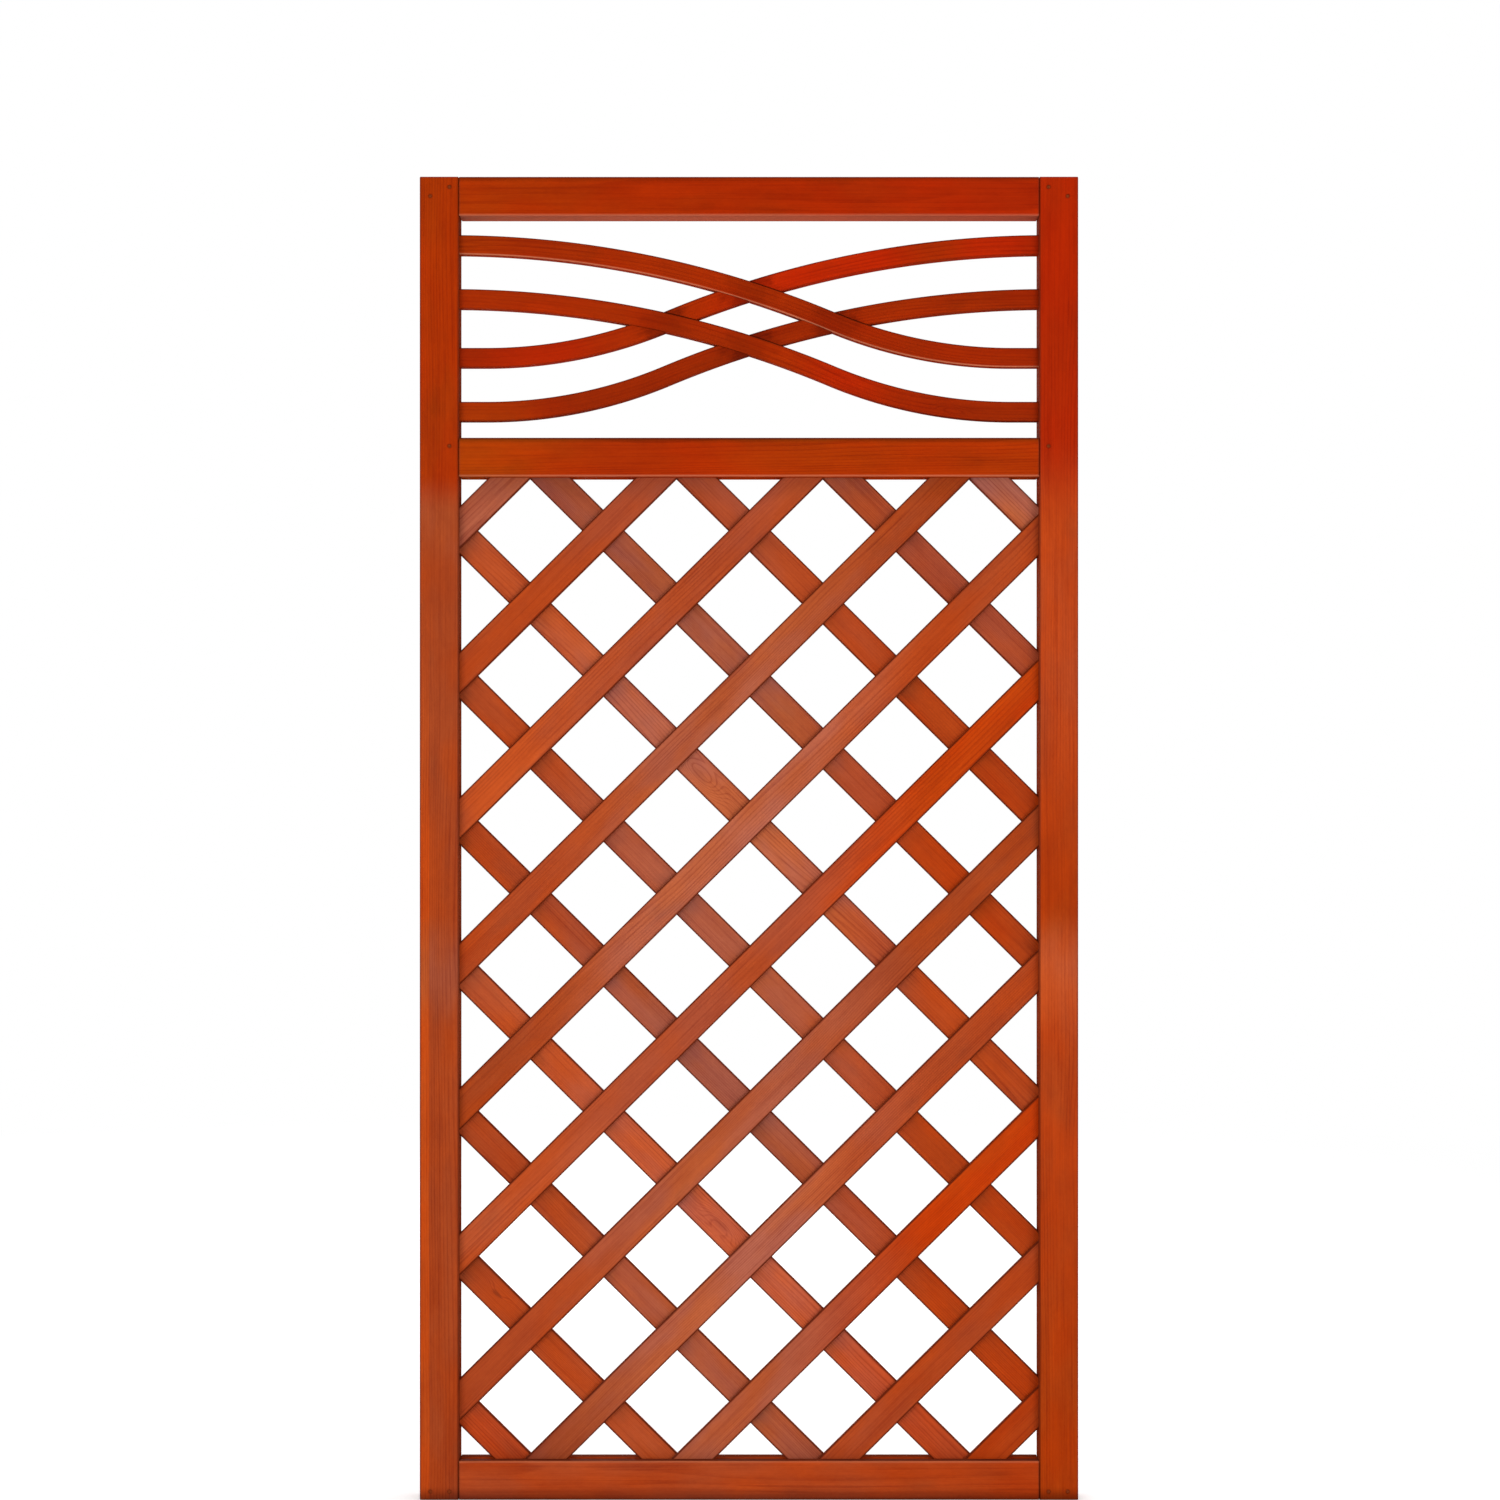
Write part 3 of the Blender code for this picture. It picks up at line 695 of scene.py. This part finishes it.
def wood_material(name, make_place, sizes, stain, chance, edge_line, figure=0.8,
                  ring_width=None, pith=None, dull=None, marks=()):
    """Stained softwood for one board, with its own log, rings and tone."""
    material, graph, shader = new_material("stained_" + name)
    place = make_place(graph)
    shift, darkness = knots_at(graph, place, KNOTS.get(name, ()))
    pith_across, pith_depth = pith or (chance.uniform(*PITHS_ACROSS), chance.uniform(*PITHS_DEPTH))
    values = {
        "Place": place, "Stain": stain_blend(graph, *stain),
        "Seed": chance.uniform(*SEEDS), "Ring Width": ring_width or chance.uniform(*RING_WIDTHS),
        "Pith Across": pith_across, "Pith Depth": pith_depth,
        "Lean": chance.uniform(*LEANS), "Figure": figure, "Edge Line": edge_line,
        # The dull argument gives painted shade, on the laths only
        "Ring Shift": shift, "Knot": darkness, "Dull": dull(graph, place) if dull else 0.0,
    }
    values.update(zip(("Half Face", "Half Depth", "Half Length"), sizes))
    lie = EDGE_STAIN_AND_LIGHT.get(name, LATH_EDGE_STAIN_AND_LIGHT)
    values.update(zip(("High Side", "Low Side", "High Arris", "Low Arris"), lie))
    wood = graph.add("ShaderNodeGroup", values, node_tree=SOFTWOOD).outputs
    colour = wood["Color"]
    for mark in marks:
        colour = mark(graph, place, colour)
    bump = graph.add("ShaderNodeBump", {
        "Strength": RELIEF_STRENGTH, "Distance": RELIEF_DEPTH, "Height": wood["Height"],
    })
    graph.feed(shader.inputs["Base Color"], colour)
    graph.feed(shader.inputs["Roughness"], wood["Roughness"])
    graph.feed(shader.inputs["Normal"], bump.outputs["Normal"])
    graph.feed(shader.inputs["Coat Weight"], wood["Coat"])
    shader.inputs["Specular IOR Level"].default_value = 0.0
    shader.inputs["Coat Roughness"].default_value = COAT_ROUGHNESS
    return material


def finish_normals(piece):
    """Keep flats flat and roll the light round the arrises."""
    normals = piece.modifiers.new("even_normals", 'WEIGHTED_NORMAL')
    normals.keep_sharp = True
    normals.weight = FLAT_WEIGHT


def dress_member(name, chance, **look):
    """A frame member keeps its solid, and gets smooth arrises and its own wood."""
    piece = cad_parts[name]
    weld = piece.modifiers.new("joined_faces", 'WELD')
    weld.merge_threshold = WELD_REACH
    split = piece.modifiers.new("crisp_corners", 'EDGE_SPLIT')
    split.split_angle = SHARP_ANGLE
    finish_normals(piece)
    low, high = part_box(name)
    centre = (low + high) / 2
    half = (high - low) / 2
    along_axis = STAINS[name][0]
    if along_axis == 'Z':
        edge_line = STILE_EDGE_LINE
        sizes = (half.x, half.y, half.z)
    else:
        edge_line = RAIL_EDGE_LINE
        sizes = (half.z, half.y, WINDOW_HALF - FIT)
    material = wood_material(name, lambda graph: board_place(graph, centre, along_axis), sizes,
                             STAINS[name], chance, edge_line, **look)
    piece.material_slots[0].material = material


def build_frame(chance, nail_places):
    """The stiles and rails, each with the marks that it carries."""
    for side in ("left", "right"):
        nails = [(centre.x, centre.z) for name, centre in nail_places if side in name]
        marks = [partial(nail_stain, nails=nails), darken_foot]
        if side == "left":
            marks.insert(0, sapwood_stripe)
        dress_member(side + "_stile", chance, pith=STILE_PITH, ring_width=EVEN_RING_WIDTH,
                     marks=marks)
    upper_edge_marks = {name: partial(darken_upper_edge, strength=share) for name, share in UPPER_EDGE_STRENGTH.items()}
    dress_member("top_rail", chance, marks=(upper_edge_marks["top_rail"], painted_underside_highlight))
    dress_member("middle_rail", chance, marks=(upper_edge_marks["middle_rail"],))
    dress_member("bottom_rail", chance, marks=(darken_foot,))


def rounded_section(width, depth, arris):
    """The outline of a board's section as across and depth pairs, in order round it."""
    points = []
    corners = ((1, 1, 0), (-1, 1, 90), (-1, -1, 180), (1, -1, 270))
    for across_side, depth_side, start in corners:
        centre_across = across_side * (width / 2 - arris)
        centre_depth = depth_side * (depth / 2 - arris)
        for step in range(ARRIS_STEPS + 1):
            angle = math.radians(start + 90 * step / ARRIS_STEPS)
            points.append((centre_across + arris * math.cos(angle),
                           centre_depth + arris * math.sin(angle)))
    return points


def solid_mesh(name, shape):
    """A mesh from a finished shape, with its faces turned outward."""
    bmesh.ops.recalc_face_normals(shape, faces=shape.faces)
    mesh = bpy.data.meshes.new(name)
    shape.to_mesh(mesh)
    shape.free()
    return mesh


def lofted_mesh(name, loops):
    """A closed solid through equal loops of points, capped at both ends."""
    shape = bmesh.new()
    rows = [[shape.verts.new(point) for point in loop] for loop in loops]
    count = len(rows[0])
    for row, following in zip(rows, rows[1:]):
        for index in range(count):
            after = (index + 1) % count
            shape.faces.new((row[index], row[after], following[after], following[index]))
    shape.faces.new(rows[0][::-1])
    shape.faces.new(rows[-1])
    return solid_mesh(name, shape)


def carry_grain(mesh, places):
    """Store each vertex's place along, across and through its board."""
    layer = mesh.attributes.new("grain", 'FLOAT_VECTOR', 'POINT')
    for item, place in zip(layer.data, places):
        item.vector = place


def add_object(name, data):
    """A new object in the scene."""
    item = bpy.data.objects.new(name, data)
    bpy.context.scene.collection.objects.link(item)
    return item


def show_piece(name, mesh, material, slot, *replaced):
    """Link a finished mesh, ride it on the panel and let it stand for its nodes."""
    mesh.materials.clear()
    mesh.materials.append(material)
    mesh.shade_smooth()
    mesh.set_sharp_from_angle(angle=SHARP_ANGLE)
    piece = add_object(name, mesh)
    finish_normals(piece)
    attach(piece, "root")
    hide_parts(*replaced)


def lath_line(name, reach_x, top):
    """The height at which a lath's middle line crosses the panel's middle."""
    low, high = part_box(name)
    rise = reach_x * math.tan(LATH_ANGLE) + LATH_WIDTH / 2 / math.cos(LATH_ANGLE)
    return high.z - rise if high.z < top - FIT else low.z + rise


def lath_loops(middle, rising, limits, depth_middle, thickness):
    """A lath's section loops, each long edge clipped to the grooves round the window."""
    reach_x, bottom, top = limits
    cos_angle = math.cos(LATH_ANGLE)
    sin_angle = math.sin(LATH_ANGLE)
    section = rounded_section(LATH_WIDTH, thickness, LATH_ARRIS)
    spans = []
    for across, depth in section:
        x = -rising * across * sin_angle
        z = middle + across * cos_angle
        to_bottom = (bottom - z) / sin_angle
        to_top = (top - z) / sin_angle
        lower, upper = (to_bottom, to_top) if rising > 0 else (-to_top, -to_bottom)
        start = max((-reach_x - x) / cos_angle, lower)
        stop = min((reach_x - x) / cos_angle, upper)
        spans.append((start, stop, x, z))
    loops = []
    grain = []
    for station in range(LATH_STATIONS + 1):
        loop = []
        for (across, depth), (start, stop, x, z) in zip(section, spans):
            along = start + (stop - start) * station / LATH_STATIONS
            loop.append((x + along * cos_angle, depth_middle + depth,
                         z + rising * along * sin_angle))
            grain.append((along, across, depth))
        loops.append(loop)
    return loops, grain


def build_laths(chance):
    """Both layers of laths, each cut from its own strip of wood."""
    boxes = [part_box(name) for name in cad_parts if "_lath_" in name]
    reach_x = max(high.x for _, high in boxes)
    bottom = min(low.z for low, _ in boxes)
    top = max(high.z for _, high in boxes)
    lines = {}
    for layer, rising, tones in (("front", 1, FRONT_LATH_TONES), ("back", -1, BACK_LATH_TONES)):
        for number, row in enumerate(tones, start=1):
            left, middle_tone, right = row.split()
            name = "%s_lath_%02d" % (layer, number)
            low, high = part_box(name)
            thickness = high.y - low.y
            middle = lath_line(name, reach_x, top)
            lines[name] = middle
            loops, grain = lath_loops(middle, rising, (reach_x, bottom, top),
                                      (low.y + high.y) / 2, thickness)
            mesh = lofted_mesh(name + "_board", loops)
            carry_grain(mesh, grain)
            # Painted shade under the middle rail, and on back laths below each crossing
            dull = lath_painted_shade
            if layer == "back":
                first_crossing = (middle - lines["front_lath_01"]) / 2 / math.sin(LATH_ANGLE)
                dull = partial(lath_painted_shade, first_crossing=first_crossing)
            stops = tuple(zip(LATH_STOPS, (left, middle_tone, middle_tone, right)))
            material = wood_material(
                name, mesh_place, (LATH_WIDTH / 2, thickness / 2, HIDDEN_ENDS), ("X", stops),
                chance, LATH_EDGE_LINE, figure=LATH_FIGURE, dull=dull,
                ring_width=chance.uniform(*LATH_RING_WIDTHS),
                pith=(chance.choice((-1, 1)) * chance.uniform(*LATH_PITHS_ACROSS),
                      chance.uniform(*LATH_PITHS_DEPTH)))
            show_piece(name + "_board", mesh, material, "lath_stain", name)
    return lines


class SlatCurve:
    """The S-shaped middle line of a curved slat: a wide arc, a tighter one and a straight."""

    def __init__(self, drop):
        self.drop = drop
        run = 2 * WINDOW_HALF + SLAT_HOUSING - LOW_END_STRAIGHT
        self.turn = 2 * math.atan(drop / run)
        self.radius = run / math.sin(self.turn) - LOW_END_RADIUS
        self.start_x = -WINDOW_HALF - SLAT_HOUSING
        self.arcs_end_x = self.start_x + run
        self.first = self.radius * self.turn
        self.both = self.first + LOW_END_RADIUS * self.turn
        self.length = self.both + LOW_END_STRAIGHT + SLAT_HOUSING

    def point(self, along, across):
        """The place in the panel's plane at a distance along and above the line."""
        if along <= self.first:
            angle = along / self.radius
            reach = self.radius + across
            return self.start_x + reach * math.sin(angle), reach * math.cos(angle) - self.radius
        if along <= self.both:
            angle = (self.both - along) / LOW_END_RADIUS
            reach = LOW_END_RADIUS - across
            return (self.arcs_end_x - reach * math.sin(angle),
                    LOW_END_RADIUS - self.drop - reach * math.cos(angle))
        return self.arcs_end_x + along - self.both, across - self.drop

    def height_at(self, x):
        """The line's height at a place across the window."""
        reach = x - self.start_x
        if reach <= self.radius * math.sin(self.turn):
            return math.sqrt(self.radius ** 2 - reach ** 2) - self.radius
        left = max(self.arcs_end_x - x, 0.0)
        return LOW_END_RADIUS - self.drop - math.sqrt(LOW_END_RADIUS ** 2 - left ** 2)

    def place(self, x, z):
        """The distance along and above the line of a place in the panel's plane."""
        angle = math.atan2(x - self.start_x, z + self.radius)
        if angle <= self.turn:
            reach = math.hypot(x - self.start_x, z + self.radius)
            return angle * self.radius, reach - self.radius
        below = LOW_END_RADIUS - self.drop - z
        angle = math.atan2(self.arcs_end_x - x, below)
        if angle >= 0.0:
            reach = math.hypot(self.arcs_end_x - x, below)
            return self.both - angle * LOW_END_RADIUS, LOW_END_RADIUS - reach
        return self.both + x - self.arcs_end_x, z + self.drop


def slat_solid(name, curve, falls_to, height, section, depth_shift=0.0, past_ends=0.0):
    """A sweep of a section along a slat's line, as an object for cutting or being cut."""
    loops = []
    for station in range(SLAT_STATIONS + 1):
        along = -past_ends + (curve.length + 2 * past_ends) * station / SLAT_STATIONS
        loop = []
        for across, depth in section:
            x, z = curve.point(along, across)
            loop.append((falls_to * x, depth + depth_shift, z + height))
        loops.append(loop)
    return add_object(name, lofted_mesh(name, loops))


def cut_mesh(solid, tools):
    """The mesh of a solid after its tools have been cut from it."""
    for tool in tools:
        cut = solid.modifiers.new(tool.name, 'BOOLEAN')
        cut.operation = 'DIFFERENCE'
        cut.solver = 'EXACT'
        cut.object = tool
    evaluated = solid.evaluated_get(bpy.context.evaluated_depsgraph_get())
    return bpy.data.meshes.new_from_object(evaluated)


def slat_joints(curve, heights):
    """Where the front and the back slats cross, in the panel's plane, by halving the window."""
    halvings = 30
    joints = []
    for front_height in heights.values():
        for back_height in heights.values():
            low, high = -WINDOW_HALF, WINDOW_HALF
            for _ in range(halvings):
                x = (low + high) / 2
                above = front_height + curve.height_at(x) > back_height + curve.height_at(-x)
                low, high = (x, high) if above else (low, x)
            joints.append((x, front_height + curve.height_at(x)))
    return joints


def lap_tools(curve, ways, heights, depth):
    """For each layer, the solids that cut its slats' halves out of the other layer's."""
    past_ends = 0.004
    section = rounded_section(SLAT_WIDTH + 2 * FIT, depth, FIT / 2)
    shift = (depth - FIT) / 2
    tools = {}
    for layer, shift_to in (("front", -1), ("back", 1)):
        tools[layer] = [
            slat_solid("lap_%s_%s" % (row, layer), curve, ways[layer], height, section,
                       shift_to * shift, past_ends)
            for row, height in heights.items()
        ]
    return tools


def build_slats(chance):
    """The four curved slats, halved into each other where they cross."""
    ways = {"front": 1, "back": -1}
    heights = {}
    for row in ("upper", "lower"):
        low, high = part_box("curved_slat_%s_front" % row)
        heights[row] = high.z - SLAT_WIDTH / 2
    curve = SlatCurve(high.z - low.z - SLAT_WIDTH)
    depth = high.y - low.y
    section = rounded_section(SLAT_WIDTH, depth, SLAT_ARRIS)
    tools = lap_tools(curve, ways, heights, depth)
    joints = slat_joints(curve, heights)
    for layer, other in (("front", "back"), ("back", "front")):
        marks = (partial(joint_stain, joints=joints, strength=JOINT_STRENGTH[layer]),)
        for row, height in heights.items():
            name = "curved_slat_%s_%s" % (row, layer)
            solid = slat_solid(name + "_blank", curve, ways[layer], height, section)
            mesh = cut_mesh(solid, tools[other])
            bpy.data.objects.remove(solid, do_unlink=True)
            grain = []
            for vertex in mesh.vertices:
                along, across = curve.place(ways[layer] * vertex.co.x, vertex.co.z - height)
                grain.append((along, across, vertex.co.y))
            carry_grain(mesh, grain)
            material = wood_material(
                name, mesh_place, (SLAT_WIDTH / 2, depth / 2, HIDDEN_ENDS), STAINS[name], chance,
                SLAT_EDGE_LINE, ring_width=EVEN_RING_WIDTH, pith=SLAT_PITH, marks=marks)
            show_piece(name + "_board", mesh, material, "upper_stain", name)
    for tool in tools["front"] + tools["back"]:
        bpy.data.objects.remove(tool, do_unlink=True)


def metal_material():
    """Dark steel under the same stain, dull where the stain lies."""
    waves = (900.0, 900.0, 900.0)
    dark = (0.15, 0.024, 0.006, 1.0)
    light = (0.3, 0.05, 0.012, 1.0)
    roughness = (0.3, 0.7, 0.45, 0.7)
    material, graph, shader = new_material("stained_over_steel")
    patches = graph.noise(graph.panel_place(), waves, 3.0, 0.6)
    colour = graph.mix(graph.ramp(patches, 0.35, 0.65), dark, light)
    graph.feed(shader.inputs["Base Color"], colour)
    graph.feed(shader.inputs["Roughness"], graph.ramp(patches, *roughness))
    bump = graph.add("ShaderNodeBump", {"Strength": 0.4, "Distance": 0.0001, "Height": patches})
    graph.feed(shader.inputs["Normal"], bump.outputs["Normal"])
    shader.inputs["Metallic"].default_value = 0.1
    shader.inputs["Specular IOR Level"].default_value = 0.0
    return material


def nail_section(radius, length):
    """A flat-headed nail's outline as radius and depth pairs, from its head's middle down."""
    shank = 0.5
    point_length = 0.003
    head = (
        (0.0, 0.00025), (0.35, 0.00022), (0.62, 0.00008), (0.82, 0.0), (0.94, 0.00007),
        (1.0, 0.0003), (0.98, 0.0008), (0.55, 0.0012), (shank, 0.0016),
    )
    outline = [(radius * share, depth) for share, depth in head]
    return outline + [(radius * shank, length - point_length), (0.0, length)]


def turned_mesh(name, centre, front, section):
    """A solid turned about a line through the panel's depth, from radius and depth pairs."""
    shape = bmesh.new()
    rows = []
    for radius, depth in section:
        count = NAIL_SEGMENTS if radius else 1
        angles = [2 * math.pi * step / NAIL_SEGMENTS for step in range(count)]
        rows.append([
            shape.verts.new((centre.x + radius * math.cos(angle), front + depth,
                             centre.z + radius * math.sin(angle)))
            for angle in angles
        ])
    for row, following in zip(rows, rows[1:]):
        for step in range(NAIL_SEGMENTS):
            after = (step + 1) % NAIL_SEGMENTS
            corners = (row[step % len(row)], following[step % len(following)],
                       following[after % len(following)], row[after % len(row)])
            shape.faces.new(list(dict.fromkeys(corners)))
    return solid_mesh(name, shape)


def build_nails(material):
    """Nails with slightly dished heads, in place of the plain ones."""
    places = []
    for name in sorted(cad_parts):
        if not name.startswith("nail_"):
            continue
        low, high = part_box(name)
        centre = (low + high) / 2
        places.append((name, centre))
        section = nail_section((high.x - low.x) / 2, high.y - low.y)
        mesh = turned_mesh(name + "_turned", centre, low.y, section)
        show_piece(name + "_turned", mesh, material, "nail_steel", name)
    return places


def staple_path(middle, angle, crown):
    """A crown staple's wire: one leg in from the back, bent over the crown, and the other leg."""
    bend = 0.0009
    corner = bend * 0.3
    leg = 3 * bend
    half = crown / 2
    across = Vector((math.cos(angle), 0.0, math.sin(angle)))
    inward = Vector((0.0, -1.0, 0.0))
    reaches = ((half, leg), (half, bend), (half - corner, corner), (half - bend, 0.0))
    path = [middle - across * reach + inward * deep for reach, deep in reaches]
    path += [middle + across * reach + inward * deep for reach, deep in reversed(reaches)]
    return path


def build_staples(lines, material, chance):
    """Crown staples in the back of every crossing of the laths."""
    slope = math.tan(LATH_ANGLE)
    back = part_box("back_lath_06")[1].y
    margin = 0.012
    crown = 0.010
    wire = 0.00055
    sunk = 0.55
    turn = 0.12
    stray = 0.003
    curve = bpy.data.curves.new("lattice_staples", 'CURVE')
    curve.dimensions = '3D'
    curve.bevel_depth = wire
    curve.bevel_resolution = 2
    curve.use_fill_caps = True
    fronts = [line for name, line in lines.items() if name.startswith("front")]
    backs = [line for name, line in lines.items() if name.startswith("back")]
    for front_line in fronts:
        for back_line in backs:
            x = (back_line - front_line) / 2 / slope
            z = (back_line + front_line) / 2
            inside = abs(x) < WINDOW_HALF - margin
            if not inside or not BOTTOM_HIGH.z + margin < z < MIDDLE_LOW.z - margin:
                continue
            angle = LATH_ANGLE + chance.uniform(-turn, turn)
            middle = Vector((x + chance.uniform(-stray, stray), back + wire * sunk,
                             z + chance.uniform(-stray, stray)))
            path = staple_path(middle, angle, crown)
            spline = curve.splines.new('POLY')
            spline.points.add(len(path) - 1)
            for point, place in zip(spline.points, path):
                point.co = (*place, 1.0)
    curve.materials.append(material)
    staples = add_object("lattice_staples", curve)
    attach(staples, "root")


def direct_rays(graph):
    """1 for rays that show the background straight, in gloss or through glass, and 0 for light."""
    rays = graph.add("ShaderNodeLightPath").outputs
    share = graph.math('MAXIMUM', rays["Is Camera Ray"], rays["Is Glossy Ray"])
    return graph.math('MAXIMUM', share, rays["Is Transmission Ray"])


def floor_material():
    """Pale, and lifted for direct rays, which see it fade to white away from the panel."""
    material, graph, shader = new_material("pale_floor")
    tree = material.node_tree
    tree.nodes.remove(shader)
    diffuse = graph.add("ShaderNodeBsdfDiffuse", {"Color": FLOOR_COLOUR})
    lift = graph.add("ShaderNodeEmission", {"Strength": FLOOR_LIFT})
    white = graph.add("ShaderNodeEmission", {"Strength": 1.0})
    lifted = graph.add("ShaderNodeAddShader", {0: diffuse.outputs[0], 1: lift.outputs[0]})
    away = graph.ramp(graph.length(graph.panel_place()), *FLOOR_FADE)
    seen = graph.add("ShaderNodeMixShader", {0: away, 1: lifted.outputs[0], 2: white.outputs[0]})
    final = graph.add("ShaderNodeMixShader", {
        0: direct_rays(graph), 1: diffuse.outputs[0], 2: seen.outputs[0],
    })
    tree.links.new(final.outputs[0], tree.nodes["Material Output"].inputs["Surface"])
    return material


def build_floor():
    """A pale floor that keeps the panel's soft shadow and fades to white away from it."""
    mesh = bpy.data.meshes.new("studio_floor")
    corners = [(x * FLOOR_HALF, y * FLOOR_HALF, 0) for x, y in ((-1, -1), (1, -1), (1, 1), (-1, 1))]
    mesh.from_pydata(corners, [], [(0, 1, 2, 3)])
    floor = add_object("studio_floor", mesh)
    floor.location.z = -FLOOR_DROP
    mesh.materials.append(floor_material())


def build_world():
    """A white background that lights the panel at a lower level."""
    world = bpy.data.worlds.new("studio")
    bpy.context.scene.world = world
    world.use_nodes = True
    graph = Graph(world.node_tree)
    background = world.node_tree.nodes["Background"]
    background.inputs["Color"].default_value = (1.0, 1.0, 1.0, 1.0)
    level = graph.math('MULTIPLY_ADD', direct_rays(graph), 1.0 - WORLD_LEVEL, WORLD_LEVEL)
    graph.feed(background.inputs["Strength"], level)


def add_softbox(name, place, size, power):
    """A rectangular studio lamp aimed at the panel's middle."""
    lamp = bpy.data.lights.new(name, 'AREA')
    lamp.shape = 'RECTANGLE'
    lamp.size, lamp.size_y = size
    lamp.energy = power
    softbox = add_object(name, lamp)
    softbox.location = place
    away = Vector(LAMP_AIM) - Vector(place)
    softbox.rotation_euler = away.to_track_quat('-Z', 'Y').to_euler()
    softbox.visible_camera = False


def build_camera():
    """The photograph's straight front view."""
    data = bpy.data.cameras.new("front_camera")
    data.sensor_width = SENSOR_WIDTH
    data.lens = SENSOR_WIDTH * CAMERA_DISTANCE / (PHOTO_SIZE * METRES_PER_PIXEL)
    data.shift_x = (PHOTO_SIZE / 2 - PANEL_COLUMN) / PHOTO_SIZE
    data.shift_y = (HORIZON_ROW - PHOTO_SIZE / 2) / PHOTO_SIZE
    camera = add_object("front_camera", data)
    camera.location = (0.0, FRONT - CAMERA_DISTANCE,
                       (GROUND_ROW - HORIZON_ROW) * METRES_PER_PIXEL)
    camera.rotation_euler = (math.pi / 2, 0.0, 0.0)
    bpy.context.scene.camera = camera


SOFTWOOD = softwood_group()
build_camera()
build_world()
build_floor()
for lamp_name, lamp_values in LAMPS.items():
    add_softbox(lamp_name, *lamp_values)

wood_chance = random.Random(11)
steel = metal_material()
nail_places = build_nails(steel)
build_frame(wood_chance, nail_places)
lath_lines = build_laths(wood_chance)
build_slats(wood_chance)
build_staples(lath_lines, steel, random.Random(5))

bpy.context.scene.view_settings.view_transform = 'Standard'
